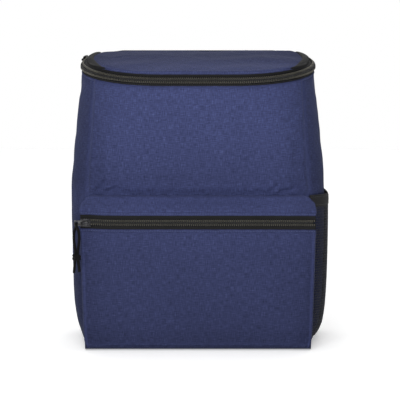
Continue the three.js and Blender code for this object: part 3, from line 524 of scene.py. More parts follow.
def sweep(name, centres, outs, ups, profile, mat, body=None, replaces=(), closed_path=False, uvscale=None):
    """A closed profile [(out, up)...] carried along a path; ends are capped. The profile may also be given per station,
    as one list of points for each station.
    """
    centres, outs, ups = np.asarray(centres, float), np.asarray(outs, float), np.asarray(ups, float)
    n, k = len(centres), len(profile)
    prof = np.asarray(profile, float)
    if prof.ndim == 2:
        prof = np.repeat(prof[None], n, 0)
    else:
        k = prof.shape[1]
    V = centres[:, None] + prof[..., 0:1] * outs[:, None] + prof[..., 1:2] * ups[:, None]
    s = np.concatenate([[0], np.cumsum(np.linalg.norm(np.diff(centres, axis=0), axis=1))])
    w = np.concatenate([[0], np.cumsum(np.linalg.norm(np.diff(prof[0], axis=0), axis=1))])
    U = np.stack(np.broadcast_arrays(s[:, None], w[None]), -1)
    F = []
    for a in range(n if closed_path else n - 1):
        for b in range(k):
            a2, b2 = (a + 1) % n, (b + 1) % k
            F.append([a * k + b, a2 * k + b, a2 * k + b2, a * k + b2])
    V = V.reshape(-1, 3)
    U = U.reshape(-1, 2)
    if not closed_path:
        F.append(list(range(k)))
        F.append([(n - 1) * k + b for b in range(k)][::-1])
    ob = mesh_object(name, V, F, mat, body, replaces, U)
    fix_normals(ob)
    return ob


def merge(name, parts, mat, body=None, replaces=(), uv=None):
    V, F, off = [], [], 0
    for v, f in parts:
        V.append(v)
        F += [[i + off for i in q] for q in f]
        off += len(v)
    return mesh_object(name, np.concatenate(V), F, mat, body, replaces, uv)


def tube(points, r, sides=10, cap=True):
    """vertices, faces, uv of a round tube along points"""
    P = np.asarray(points, float)
    T = np.gradient(P, axis=0)
    T /= np.linalg.norm(T, axis=1, keepdims=True)
    ref = np.array([1.0, 0, 0]) if abs(T[0, 0]) < 0.8 else np.array([0, 1.0, 0])
    side = np.cross(T[0], ref)
    side /= np.linalg.norm(side)
    V, U, s = [], [], 0.0
    rr = np.full(len(P), r) if np.isscalar(r) else np.asarray(r)
    for i in range(len(P)):
        side = side - T[i] * side.dot(T[i])
        side /= np.linalg.norm(side)
        o = np.cross(T[i], side)
        if i:
            s += np.linalg.norm(P[i] - P[i - 1])
        for k in range(sides):
            a = 2 * math.pi * k / sides
            V.append(P[i] + rr[i] * (math.cos(a) * side + math.sin(a) * o))
            U.append([k / sides * 1000, s])
    F = [[i * sides + k, i * sides + (k + 1) % sides, (i + 1) * sides + (k + 1) % sides, (i + 1) * sides + k] for i in range(len(P) - 1) for k in range(sides)]
    if cap:
        F.append(list(range(sides))[::-1])
        F.append([(len(P) - 1) * sides + k for k in range(sides)])
    return np.array(V), F, np.array(U)


def stitch_parts(points, outs, ups, pitch, length, width, height, tilt=0.0, start=0.5):
    """Short rounded stitches along a path, as one set of vertices and faces."""
    P = np.asarray(points, float)
    s = np.concatenate([[0], np.cumsum(np.linalg.norm(np.diff(P, axis=0), axis=1))])
    q = np.arange(pitch * start, s[-1] - pitch * 0.4, pitch)
    at_s = lambda A: np.stack([np.interp(q, s, np.asarray(A, float)[:, k]) for k in range(3)], -1)
    C, O, Uv = at_s(P), at_s(outs), at_s(ups)
    O /= np.linalg.norm(O, axis=1, keepdims=True)
    Tn = np.cross(Uv, O)
    Tn /= np.linalg.norm(Tn, axis=1, keepdims=True)
    Uv = np.cross(O, Tn)
    d = Tn * math.cos(tilt) + Uv * math.sin(tilt)
    e = -Tn * math.sin(tilt) + Uv * math.cos(tilt)
    parts = []
    sec = [(-0.5, 0.0), (-0.5, 0.35), (-0.36, 0.55), (0.36, 0.55), (0.5, 0.35), (0.5, 0.0)]
    for m in range(len(q)):
        v = []
        for (x, hgt) in sec:
            for y, k in ((-0.5, 0.55), (-0.25, 1.0), (0.25, 1.0), (0.5, 0.55)):
                v.append(C[m] + d[m] * x * length + e[m] * y * width + O[m] * (hgt * height * k))
        f = []
        for a in range(len(sec) - 1):
            for b in range(3):
                f.append([a * 4 + b, (a + 1) * 4 + b, (a + 1) * 4 + b + 1, a * 4 + b + 1])
        f.append([0, 1, 2, 3])
        f.append([20, 23, 22, 21])
        f.append([a * 4 for a in range(6)])
        f.append([a * 4 + 3 for a in range(6)][::-1])
        parts.append((np.array(v), f))
    return parts


def stitches(name, points, outs, ups, pitch, length, width, height, mat, body, tilt=0.0):
    parts = stitch_parts(points, outs, ups, pitch, length, width, height, tilt)
    ob = merge(name, parts, mat, body)
    fix_normals(ob)
    return ob


def ripple(U, V, seed, waves, lo, hi, bias=(1.0, 1.0)):
    """Smooth random undulation of unit size over a surface; wavelengths from lo to hi, millimetres."""
    r = np.random.RandomState(seed)
    out = np.zeros_like(U)
    for _ in range(waves):
        L, a = r.uniform(lo, hi), r.uniform(0, 2 * math.pi)
        kx, ky = math.cos(a) * bias[0], math.sin(a) * bias[1]
        out += np.sin(2 * math.pi * (U * kx + V * ky) / L + r.uniform(0, 2 * math.pi) + 0.9 * np.sin(2 * math.pi * (U * ky - V * kx) / (2.3 * L) + r.uniform(0, 6)))
    return out / math.sqrt(waves / 2)


def crease(X, Z, a, b, width, depth, fade=0.35):
    """A soft valley between two points of the surface's own coordinates."""
    a, b = np.array(a, float), np.array(b, float)
    d = b - a
    L = np.linalg.norm(d)
    d /= L
    s = ((X - a[0]) * d[0] + (Z - a[1]) * d[1]) / L
    n = (X - a[0]) * -d[1] + (Z - a[1]) * d[0]
    along = clamp(s / fade) * clamp((1 - s) / fade)
    along = smooth(clamp(along))
    q = n / width
    return -depth * along * (np.exp(-q * q) - 0.5 * np.exp(-((q - 1.6) ** 2)) - 0.5 * np.exp(-((q + 1.6) ** 2)))


# ------------------------------------------------------------------ cloth simulation of the panels
SIMS = []


def simulate(name, P, outward, pins, grow=0.012, pressure=0.6, stiff=12, bend=1.2, cap_out=2.6, cap_in=0.8, gravity=0.0, wrap=False):
    """Registers a coarse grid to be simulated. Returns a record whose 'D' is later its displacement grid."""
    rec = {"name": name, "P": np.asarray(P, float), "out": np.asarray(outward, float), "pins": pins, "grow": grow, "pressure": pressure, "stiff": stiff, "bend": bend, "co": cap_out, "ci": cap_in, "g": gravity, "wrap": wrap}
    SIMS.append(rec)
    return rec


def run_sims():
    sc = bpy.context.scene
    objs = []
    for r in SIMS:
        P = r["P"]
        nu, nv = P.shape[:2]
        F = grid_faces(nu, nv)
        me = bpy.data.meshes.new("sim_" + r["name"])
        N = normals(P, r["out"])
        # face direction must match the outward side, because pressure follows it
        t = np.cross(P[1, 0] - P[0, 0], P[0, 1] - P[0, 0])
        if t.dot(N[0, 0]) < 0:
            F = F[:, ::-1]
        jitter = np.random.RandomState(5).uniform(-0.05, 0.05, (nu, nv, 1)) * N
        me.from_pydata(((P + jitter).reshape(-1, 3) * 0.01).tolist(), [], F.tolist())   # ten times life size: steadier at this scale
        ob = bpy.data.objects.new("sim_" + r["name"], me)
        sc.collection.objects.link(ob)
        vg = ob.vertex_groups.new(name="pin")
        w = r["pins"].ravel()
        for val in np.unique(w):
            if val > 0:
                vg.add([int(i) for i in np.nonzero(w == val)[0]], float(val), "REPLACE")
        mod = ob.modifiers.new("cloth", "CLOTH")
        s = mod.settings
        s.quality = 5
        s.mass = 0.25
        s.tension_stiffness = s.compression_stiffness = s.shear_stiffness = r["stiff"]
        s.bending_stiffness = r["bend"]
        s.tension_damping = s.compression_damping = 12
        s.air_damping = 3
        s.vertex_group_mass = "pin"
        s.shrink_min = -r["grow"]
        s.shrink_max = -r["grow"]
        s.use_pressure = True
        s.uniform_pressure_force = r["pressure"]
        s.effector_weights.gravity = r["g"]
        mod.collision_settings.use_collision = False
        mod.collision_settings.use_self_collision = False
        mod.point_cache.frame_start, mod.point_cache.frame_end = 1, 24
        objs.append(ob)
    for f in range(1, 25):
        sc.frame_set(f)
    dg = bpy.context.evaluated_depsgraph_get()
    for r, ob in zip(SIMS, objs):
        ev = ob.evaluated_get(dg)
        co = np.zeros(len(ob.data.vertices) * 3, np.float32)
        ev.data.vertices.foreach_get("co", co)
        Q = co.reshape(r["P"].shape).astype(float) * 100
        D = Q - r["P"]
        N = normals(r["P"], r["out"])
        dn = (D * N).sum(2)
        tang = D - N * dn[..., None]
        dn = np.where(dn > 0, r["co"] * np.tanh(dn / r["co"]), -r["ci"] * np.tanh(-dn / r["ci"]))
        tl = np.linalg.norm(tang, axis=2, keepdims=True)
        tang = tang * (np.tanh(tl / 1.2) * 1.2 / np.maximum(tl, 1e-6))
        r["D"] = N * dn[..., None] + tang
        print("SIM", r["name"], "out %.2f in %.2f mm" % (float(dn.max()), float(dn.min())))
        bpy.data.objects.remove(ob)
    sc.frame_set(1)


def upsample(D, nu, nv):
    """Smooth (cubic) upsampling of a displacement grid."""
    def up(A, n):
        m = A.shape[0]
        q = np.linspace(0, m - 1, n)
        i = np.clip(np.floor(q).astype(int), 0, m - 2)
        f = (q - i)[:, None, None]
        g = lambda k: A[np.clip(i + k, 0, m - 1)]
        a, b, c, d = g(-1), g(0), g(1), g(2)
        return b + 0.5 * f * (c - a + f * (2 * a - 5 * b + 4 * c - d + f * (3 * (b - c) + d - a)))
    return up(up(D, nu).swapaxes(0, 1), nv).swapaxes(0, 1)


def pins_of(nu, nv, left=1, right=1, bottom=1, top=1):
    w = np.zeros((nu, nv))
    if left: w[0] = 1
    if right: w[-1] = 1
    if bottom: w[:, 0] = 1
    if top: w[:, -1] = 1
    return w


# ------------------------------------------------------------------ rest shapes of the cloth
def wall_grid(plan, n_cols, ts, d=0.0, tops=()):
    rows = [lift(plan(t, d, n_cols), t) for t in ts]
    rows += [lift(plan(1.0, d, n_cols), 1.0, h) for h in tops]
    return np.stack(rows, 1)


def rows_of(n, z0=0.6, z1=RIM_FRONT_Z):
    return np.linspace(z0, z1, n) / RIM_FRONT_Z


side_l = lambda t, d, n: side_plan(t, d, n, -1)
side_r = lambda t, d, n: side_plan(t, d, n, 1)


def seam_profile(x, width=3.2, depth=1.15):
    """How far the cloth dips beside a seam: x is the distance from the seam."""
    return -depth * np.exp(-((x / width) ** 2))


def edge_dist(P):
    U = arc_uv(P)
    u = U[..., 0]
    left, right = u - u[0], u[-1] - u
    v = U[..., 1]
    return left, right, v - v[:, :1], v[:, -1:] - v, u, v


def pk_half(z):
    return PK_BOTTOM + (PK_TOP - PK_BOTTOM) * np.minimum(1, z / PZ1)


def pk_face(z):
    return POCKET_Y - POCKET_BULGE * np.sin(math.pi * clamp((z - 6) / (PZ0 - 6)))


def pocket_front_rest(nu, nv):
    """Front of the pocket: upright face, its side and lower edges turned back round soft corners."""
    zs = np.linspace(2.2, PZ0 + 0.2, nv)
    k = np.linspace(-1, 1, nu)
    P = np.zeros((nu, nv, 3))
    R = 6.0
    for j, z in enumerate(zs):
        w = float(pk_half(z)) + 0.6
        dx = w * (1 - np.abs(k))                       # distance in from the side edge
        y = pk_face(z) * np.ones(nu)
        dz = z - 2.2
        qx, qz = clamp(1 - dx / R), clamp(1 - dz / 7.0)
        r = np.sqrt(qx**2 + qz**2)
        P[:, j, 0] = k * w
        P[:, j, 1] = y + 3.6 * (1 - np.sqrt(np.maximum(0, 1 - np.minimum(1, r) ** 2)))
        # lower corners are rounded
        corner = clamp((30 - z) / 30) ** 2
        P[:, j, 0] -= np.sign(k) * corner * 2.4 * np.abs(k) ** 6
        P[:, j, 2] = z
    return P


# coarse grids for the simulation
front_c = wall_grid(front_plan, 66, rows_of(68))
left_c = wall_grid(side_l, 42, rows_of(68))
right_c = wall_grid(side_r, 42, rows_of(68))
back_c = wall_grid(back_plan, 58, rows_of(60))
pocket_c = pocket_front_rest(62, 34)


def pins_front():
    w = pins_of(66, 68)
    z = rows_of(68) * RIM_FRONT_Z
    w[:, z < 176] = 1          # behind the pocket the panel lies flat on the foam
    w[:, np.abs(z - 187) < 3] = 1
    return w


SIM_FRONT = simulate("front", front_c, (0, -1, 0), pins_front(), grow=0.010, pressure=0.5, cap_out=3.0, cap_in=1.0)
SIM_LEFT = simulate("left", left_c, (-1, 0, 0), pins_of(42, 68), grow=0.012, pressure=0.5, cap_out=1.6, cap_in=0.9)
SIM_RIGHT = simulate("right", right_c, (1, 0, 0), pins_of(42, 68), grow=0.012, pressure=0.5, cap_out=1.4, cap_in=0.9)
SIM_BACK = simulate("back", back_c, (0, 1, 0), pins_of(58, 60), grow=0.006, pressure=0.3, cap_out=0.8, cap_in=0.8)
SIM_POCKET = simulate("pocket", pocket_c, (0, -1, 0), pins_of(62, 34), grow=0.012, pressure=0.6, cap_out=1.5, cap_in=0.9, gravity=0.25)

# ------------------------------------------------------------------ the rim's paths
def arc_plan(na=110, nm=70, cut=2.0):
    w, yf, R, ry, _ = at(1.0)
    cx, end = w - R, rim_end(1.0, 0) - cut / R
    a = np.linspace(math.pi / 2 + end, 0, na)
    arc = np.stack([cx + R * np.sin(a), yf + ry - ry * np.cos(a), a], -1)
    left = arc * [-1, 1, 1]
    mid = np.stack([np.linspace(-cx, cx, nm)[1:-1], np.full(nm - 2, yf), np.zeros(nm - 2)], -1)
    return np.concatenate([left, mid, arc[::-1]])


def lean(a):
    return LEAN * smooth(clamp((a - math.radians(25)) / math.radians(60)))


def rim_path(plan):
    a = plan[:, 2]
    sx = np.sign(plan[:, 0])
    p = lift(plan[:, :2], 1.0)
    n = np.stack([sx * np.sin(a), -np.cos(a) * COS, -np.cos(a) * SIN], -1)
    return p, n, np.repeat(UP[None], len(a), 0)


ZPLAN = arc_plan()
RP, RN, RU = rim_path(ZPLAN)
f_ = lean(ZPLAN[:, 2])[:, None]
LP = RP + RU * SPLIT_H
LN = RN * np.cos(f_) + RU * np.sin(f_)
LU = RU * np.cos(f_) - RN * np.sin(f_)

run_sims()

# ------------------------------------------------------------------ tub cloth
def settle(P, N, D, d, most=4.0):
    """Adds simulated and shaped movement; the cloth never sinks into the foam behind it."""
    dn = (D * N).sum(2)
    tang = D - N * dn[..., None]
    tot = dn + d
    low = -0.45
    tot = np.where(tot < 0, low * np.tanh(tot / low), tot)
    tot = np.where(tot > most * 0.6, most * 0.6 + most * 0.4 * np.tanh((tot - most * 0.6) / (most * 0.4)), tot)
    return P + tang + N * tot[..., None]


def finish_front():
    nu, nv = 170, 178
    P = wall_grid(front_plan, nu, rows_of(nv, 0.6, RIM_FRONT_Z))
    N = normals(P, np.array([0, -1.0, 0]))
    L, R_, B, T_, U, V = edge_dist(P)
    Z = P[..., 2]
    X = P[..., 0]
    upper = smooth(clamp((Z - 186) / 16))
    D = upsample(SIM_FRONT["D"], nu, nv)
    d = seam_profile(np.minimum(L, R_), 3.0, 1.1) + 0.55 * np.exp(-((np.minimum(L, R_) - 5.2) / 2.6) ** 2)
    d += seam_profile(T_, 2.2, 0.5) + 0.7 * np.exp(-((T_ - 4.5) / 2.4) ** 2)
    d += upper * 0.30 * ripple(U, V, 3, 9, 42, 110, (1.0, 0.8))
    d += upper * 0.10 * ripple(U, V, 4, 10, 14, 30)
    # the panel is drawn in where the pocket's band is sewn to it, and creases run up from that seam
    d += -1.5 * np.exp(-((Z - 189) / 5.5) ** 2)
    for x0, z0, x1, z1, w, k in ((-128, 190, -112, 208, 3.4, 1.3), (-121, 189, -96, 199, 2.8, 0.9), (128, 190, 112, 212, 3.4, 1.3), (122, 189, 92, 200, 2.8, 1.0), (84, 189, 104, 206, 3.2, 1.0), (60, 188, 78, 197, 2.6, 0.6),
                               (-70, 188, -50, 198, 2.6, 0.5), (118, 214, 124, 250, 4.0, 0.7), (-120, 214, -126, 252, 4.0, 0.7), (-20, 188, 6, 195, 2.4, 0.45), (-134, 196, -100, 192, 3.0, 1.0), (96, 190, 126, 199, 3.2, 1.1), (-124, 300, -108, 272, 4.5, 0.6), (124, 300, 106, 268, 4.5, 0.7)):
        d += crease(X, Z, (x0, z0), (x1, z1), w, 1.7 * k)
    # puckers along the zip seam
    d += 0.22 * np.exp(-T_ / 6) * np.sin(2 * math.pi * U / 6.5 + 1.3 * np.sin(U / 21)) * np.exp(-((T_ - 5) / 6) ** 2)
    d += 0.22 * np.exp(-np.minimum(L, R_) / 7) * np.sin(2 * math.pi * V / 8.5 + np.sin(V / 17))
    P2 = settle(P, N, D, d + 1.6 * upper * smooth(clamp(np.minimum(L, R_) / 9)))
    edge = 0.9 * np.exp(-((np.minimum(L, R_) - 1.2) / 1.5) ** 2) + 0.5 * np.exp(-((T_ - 1) / 1.5) ** 2)
    ob = shell("front_cloth", P2, 0.75, (0, -1, 0), "shell_cloth", "root", ["front_panel"], edge)
    return P2


def finish_side(name, plan, sim, out, cad, seed):
    nu, nv = 110, 178
    P = wall_grid(plan, nu, rows_of(nv, 0.6, RIM_FRONT_Z))
    N = normals(P, np.array(out, float))
    L, R_, B, T_, U, V = edge_dist(P)
    d = seam_profile(L, 3.0, 1.0) + 0.5 * np.exp(-((L - 5) / 2.6) ** 2) + seam_profile(R_, 3.0, 0.9) + seam_profile(T_, 2.2, 0.5) + 0.5 * np.exp(-((T_ - 4.5) / 2.4) ** 2)
    d += 0.35 * ripple(U, V, seed, 9, 36, 90, (0.8, 1.0)) + 0.10 * ripple(U, V, seed + 1, 9, 13, 28)
    d += 0.2 * np.exp(-L / 7) * np.sin(2 * math.pi * V / 8.5)
    P2 = settle(P, N, upsample(sim["D"], nu, nv) * 0.4, d - 0.2, 0.7)
    edge = 0.8 * np.exp(-((np.minimum(L, R_) - 1.2) / 1.5) ** 2)
    shell(name, P2, 0.75, out, "shell_cloth_side", "root", [cad], edge)
    return P2


def finish_back():
    nu, nv = 150, 160
    P = wall_grid(back_plan, nu, rows_of(nv, 0.6, RIM_FRONT_Z), 0.0, tuple(np.linspace(1, SPLIT_H - 1.6, 4)))
    nv += 4
    N = normals(P, np.array([0, 1.0, 0]))
    L, R_, B, T_, U, V = edge_dist(P)
    e = np.minimum(L, R_)
    d = seam_profile(e, 3.0, 0.9) + 0.25 * np.exp(-((e - 5) / 2.6) ** 2) + 0.12 * ripple(U, V, 21, 9, 40, 90)
    D = np.zeros_like(P)
    D[:, :-4] = upsample(SIM_BACK["D"], nu, nv - 4)
    d = np.minimum(d, 0.35)
    P2 = settle(P, N, D * 0.5, d, 0.3)
    shell("back_cloth", P2, 0.75, (0, 1, 0), "black_cloth", "root", ["back_panel"])
    return P2


FRONT = finish_front()
LEFT = finish_side("side_cloth_left", side_l, SIM_LEFT, (-1, 0, 0), "left_side_panel", 31)
RIGHT = finish_side("side_cloth_right", side_r, SIM_RIGHT, (1, 0, 0), "right_side_panel", 37)
BACK = finish_back()


def filled_ring(name, rings, mat, body, replaces=(), outward=1):
    """Rings of points, from the rim inwards, closed with a fan at each end: rings listed from the top centre out and round to the bottom centre."""
    R = np.array(rings)
    k, n = R.shape[:2]
    V = R.reshape(-1, 3)
    F = [[a * n + b, a * n + (b + 1) % n, (a + 1) * n + (b + 1) % n, (a + 1) * n + b] for a in range(k - 1) for b in range(n)]
    V = np.concatenate([V, [R[0].mean(0)], [R[-1].mean(0)]])
    F += [[k * n, (b + 1) % n, b] for b in range(n)]
    F += [[k * n + 1, (k - 1) * n + b, (k - 1) * n + (b + 1) % n] for b in range(n)]
    uv = V[:, :2].copy()
    uv[:, 1] *= 1.0
    ob = mesh_object(name, V, F, mat, body, replaces, uv)
    fix_normals(ob)
    return ob


# base: a slightly rounded sheet under the tub, with a bound edge
ring0 = ring_plan(0.0, 0.4)
c0 = np.array([0, 1.0])
flat3 = lambda xy, z: np.concatenate([xy, np.full((len(xy), 1), float(z))], 1)
base_rings = [flat3(c0 + (ring0 - c0) * k, z) for k, z in ((0.3, 1.1), (0.7, 1.1), (0.96, 1.15), (0.99, 1.2), (1.0, 0.7), (0.995, 0.2), (0.98, 0.0), (0.7, 0.0), (0.3, 0.0))]
filled_ring("base_cloth", base_rings, "black_cloth", "root", ["base_panel"])
for node in ("front_foam", "left_foam", "right_foam", "back_foam", "base_foam", "lid_foam"):
    NODES[node].data.materials.clear()
    NODES[node].data.materials.append(M["foam"])
NODES["base_board"].data.materials.clear()
NODES["base_board"].data.materials.append(M["base_board"])

# ------------------------------------------------------------------ main zip
def strip_profile(out, inner, up0, up1, n=22, ridge=0.10, fold=0.0):
    """A woven tape in section: faces with a few raised cords, edges round."""
    u = np.linspace(up0, up1, n)
    q = (u - up0) / (up1 - up0)
    face = out + ridge * (np.exp(-((q - 0.32) / 0.05) ** 2) + 0.8 * np.exp(-((q - 0.18) / 0.04) ** 2) + 0.9 * np.exp(-((q - 0.06) / 0.05) ** 2)) + fold * np.exp(-((q) / 0.16) ** 2)
    f = [(o, v) for o, v in zip(face, u)]
    b = [(inner, v) for v in u[::-1]]
    return f + b


def coil(P, N, U, base, head, out0, out1, pitch, r, phase=0.0, sides=7, per=14):
    """Nylon filament wound along the tape: flat loops whose heads pass the split line."""
    s = np.concatenate([[0], np.cumsum(np.linalg.norm(np.diff(P, axis=0), axis=1))])
    turns = int((s[-1] - 6) / pitch)
    k = np.arange(turns * per + 1) / per
    ph = 2 * math.pi * k
    q = 3 + (k + 0.16 * np.sin(ph * 1.0 + math.pi / 2) + phase) * pitch
    take = lambda A: np.stack([np.interp(q, s, A[:, c]) for c in range(3)], -1)
    b = (base + head) / 2 + (head - base) / 2 * np.sign(np.cos(ph)) * np.abs(np.cos(ph)) ** 0.75
    o = (out0 + out1) / 2 + (out1 - out0) / 2 * np.sign(np.sin(ph)) * np.abs(np.sin(ph)) ** 0.6
    C = take(P) + take(N) * o[:, None] + take(U) * b[:, None]
    rr = r * (1 + 0.18 * np.exp(-((b - head) / 0.8) ** 2))
    return tube(C, rr, sides)


def main_zip():
    sweep("main_tape_lower", RP, RN, RU, strip_profile(-0.2, -1.0, 0.2, SPLIT_H - 0.75, ridge=0.28), "zip_tape", "root", ["main_zip_tape_lower"])
    sweep("main_tape_upper", LP, LN, LU, [(o, HALF - GAP - (v - 0.9) + 0.0) if False else (o, v) for o, v in [(oo, 0.9 + (HALF - GAP - 0.9) * (1 - (vv - 0.9) / (HALF - GAP - 0.9))) for oo, vv in strip_profile(-0.2, -1.0, 0.9, HALF - GAP, ridge=0.28)]], "zip_tape", "lid", ["main_zip_tape_upper"])
    for nm, P, N, U, b0, b1, body, cad, ph, cs in (
        ("main_coil_lower", RP, RN, RU, SPLIT_H - 3.45, SPLIT_H + 0.4, "root", "main_zip_coil_lower", 0.0, 1),
        ("main_coil_upper", LP, LN, LU, 3.45, -0.4, "lid", "main_zip_coil_upper", 0.5, -1)):
        v, f, u = coil(P, N, U, b0, b1, 0.45, 1.95, 2.5, 0.46, ph)
        merge(nm, [(v, f)], "zip_coil", body, [cad])
    # pale coil stitches: painted highlight standing in for glints on the coil
    for nm, P, N, U, b, body in (("main_coil_stitch_a", RP, RN, RU, SPLIT_H - 3.0, "root"), ("main_coil_stitch_b", RP, RN, RU, SPLIT_H - 1.7, "root"), ("main_coil_stitch_c", LP, LN, LU, 3.0, "lid"), ("main_coil_stitch_d", LP, LN, LU, 1.7, "lid")):
        stitches(nm, P + N * 1.9 + U * b, N, U, 2.5, 0.85, 0.6, 1.1, "coil_painted_glint_thread", body)
    # cloth folded over the tape's lower edge, with its row of stitches
    th = np.linspace(0, 2 * math.pi, 13)[:-1]
    fold = [(0.25 + 0.62 * math.cos(a), -0.9 + 1.9 * math.sin(a)) for a in th]
    sweep("rim_fold", RP, RN, RU, fold, "shell_cloth", "root")
    stitches("rim_stitch", RP + RN * 0.82 - RU * 1.2, RN, RU, 3.1, 2.1, 0.5, 0.5, "seam_thread", "root")
    fold = [(0.1 + 0.62 * math.cos(a), HALF + 0.5 + 1.6 * math.sin(a)) for a in th]
    turn = math.radians(38)          # from here back the cloth is bound with tape instead of folded
    a_ = ZPLAN[:, 2]
    i0, i1 = int(np.argmax(a_ < turn)), len(a_) - int(np.argmax(a_[::-1] < turn))
    full = math.radians(50)          # the binding is at its full width by here
    j0, j1 = int(np.argmax(a_ < full)), len(a_) - int(np.argmax(a_[::-1] < full))
    sweep("lid_fold", LP[j0:j1], LN[j0:j1], LU[j0:j1], fold, "shell_cloth", "lid")
    grow = 0.62 + 0.38 * smooth(clamp((a_ - turn) / (full - turn)))[:, None]
    BP = LP + (1 - grow) * (LN * 0.22 + LU * (HALF + 0.5))
    for nm, sl in (("left", slice(0, i0 + 1)), ("right", slice(i1 - 1, None))):
        sweep("lid_bound_edge_" + nm, BP[sl], (LN * grow)[sl], (LU * grow)[sl], [(o + 0.12, v) for o, v in fold], "zip_tape", "lid")
    stitches("lid_stitch", (LP + LN * 0.66 + LU * (HALF + 0.9))[i0:i1], LN[i0:i1], LU[i0:i1], 3.1, 2.1, 0.5, 0.5, "seam_thread", "lid")
    # tape stitch lines near the fold
    stitches("main_tape_stitch_lower", RP - RN * 0.05 + RU * 2.2, RN, RU, 2.6, 1.8, 0.35, 0.35, "black_thread", "root")


main_zip()

# ------------------------------------------------------------------ lid
CENTRE = np.array([0.0, 8.0])


def rim_angle(x, y):
    w, yf, R, ry, _ = at(1.0)
    cx = w - R
    if abs(x) <= cx and y < 0:
        return 0.0
    return math.atan2(max(0.0, abs(x) - cx), -(y - yf - ry))


def lid_edge(d=0.0):
    plan = ring_plan(1.0, d, 110, 90, 90)
    q, h = [], []
    for x, y in plan:
        back = y > BACK_Y - d - 0.5
        a = rim_angle(x, y)
        f = float(lean(np.array(math.pi / 2 if back else a)))
        k = max(0.0, min(1.0, (abs(x) - 90) / 50)) if back else 1.0
        inset = HALF * math.sin(f) * k
        n = (np.sign(x) * 0.8, 0.2) if back else (np.sign(x) * math.sin(a), -math.cos(a))
        q.append((x - n[0] * inset, y - n[1] * inset))
        h.append(SPLIT_H + HALF * (1 - (1 - math.cos(f)) * k))
    q, h = np.array(q), np.array(h)
    # even out the step where the back begins
    for _ in range(3):
        q = (np.roll(q, 1, 0) + 2 * q + np.roll(q, -1, 0)) / 4
        h = (np.roll(h, 1) + 2 * h + np.roll(h, -1)) / 4
    return q, h


LQ, LH = lid_edge()


def lid_surface(ks, crown, extra=None):
    rings = []
    for k in ks:
        q = CENTRE + (LQ - CENTRE) * k
        r = min(1.0, (1 - k) / 0.11)
        h = LH + (ZIP_BAND - LH) * (0.5 * r + 0.5 * math.sin(r * math.pi / 2)) + crown * (1 - k**3)
        rings.append(lift(q, 1.0, 0.0) + UP * h[:, None])
    return np.stack(rings, 1)


def lid_edge_tape(P, ks):
    """black tape that turns in over the cloth where the rim runs back along each side"""
    n = len(P)
    ang = np.array([rim_angle(x, y) if y < BACK_Y - 3 else math.pi for x, y in ring_plan(1.0, 0.0, 110, 90, 90)])
    wide = 8.5 * smooth(clamp((ang - math.radians(33)) / math.radians(44)))
    for name, s in (("left", -1), ("right", 1)):
        idx = [i for i in range(n) if s * P[i, -1, 0] > 0 and math.radians(33) < ang[i] < math.pi]
        idx.sort(key=lambda i: P[i, -1, 1])
        G = np.zeros((len(idx), 9, 3))
        for a, i in enumerate(idx):
            reach = np.linalg.norm(P[i, -1] - P[i, 0]) / (1 - ks[0])
            q = 1.0 - np.linspace(0.0, 1.0, 9) * max(0.4, wide[i]) / reach
            for c in range(3):
                G[a, :, c] = np.interp(q, ks, P[i, :, c])
        N = normals(G, UP)
        back = smooth(clamp((ang[idx] - math.radians(62)) / math.radians(34)))[:, None, None]
        q = np.linspace(0, 1, 9)[None, :, None]
        start = smooth(clamp((ang[idx] - math.radians(33)) / math.radians(13)))[:, None, None]
        G = G + N * (0.75 - 0.25 * q**4) * (0.1 + 0.9 * start) + N * back * 2.8 * np.cos(q * math.pi / 2) ** 0.7
        shell("lid_edge_tape_" + name, G, 0.6, UP, "zip_tape", "lid")


def lid_cloth():
    ks = np.concatenate([np.linspace(0.02, 0.86, 34), np.linspace(0.86, 1.0, 18)[1:]])
    P = lid_surface(ks, 3.6)
    n = len(P)
    Pw = np.concatenate([P, P[:1]], 0)
    N = normals(Pw, UP)[:n]
    X, Y = P[..., 0], P[..., 1]
    K = np.broadcast_to(ks[None], X.shape)
    rim = (1 - K) * 75
    d = -0.5 * np.exp(-(rim / 2.2) ** 2) + 0.6 * np.exp(-((rim - 5) / 2.8) ** 2)
    d += 0.55 * smooth(clamp((1 - K) / 0.1)) * ripple(X, Y, 51, 9, 38, 95, (0.8, 1.2)) + 0.12 * smooth(clamp((1 - K) / 0.1)) * ripple(X, Y, 52, 10, 12, 26)
    d += 0.25 * np.exp(-rim / 7) * np.sin(2 * math.pi * np.arange(n)[:, None] / n * 118)
    d += 0.5 * smooth(clamp((1 - K) / 0.08))
    for x0, y0, x1, y1, w, k in ((-112, 6, -80, 26, 5, 0.8), (106, 0, 84, 26, 5, 0.8), (-60, 46, -20, 54, 5, 0.4), (30, 52, 72, 44, 5, 0.4)):
        d += crease(X, Y, (x0, y0), (x1, y1), w, k)
    P = P + N * d[..., None]
    lid_edge_tape(P, ks)
    # shell as rings: outer face from the centre out, then the under face back in
    Nn = normals(np.concatenate([P, P[:1]], 0), UP)[:n]
    under = P - Nn * 0.75
    k = len(ks)
    V = np.concatenate([P.swapaxes(0, 1).reshape(-1, 3), under.swapaxes(0, 1)[::-1].reshape(-1, 3)])
    R = 2 * k
    F = [[a * n + b, a * n + (b + 1) % n, (a + 1) * n + (b + 1) % n, (a + 1) * n + b] for a in range(R - 1) for b in range(n)]
    top, bot = P[:, 0].mean(0), under[:, 0].mean(0)
    V = np.concatenate([V, [top], [bot]])
    F += [[R * n, (b + 1) % n, b] for b in range(n)] + [[R * n + 1, (R - 1) * n + b, (R - 1) * n + (b + 1) % n] for b in range(n)]
    uv = V[:, :2] / [1, 1.0]
    e = np.exp(-((rim - 1.5) / 2) ** 2)
    E = np.concatenate([e.T.ravel(), e.T[::-1].ravel(), [0, 0]])
    ob = mesh_object("lid_cloth", V, F, "shell_cloth", "lid", ["lid_panel"], uv, edge=E)
    fix_normals(ob)


lid_cloth()

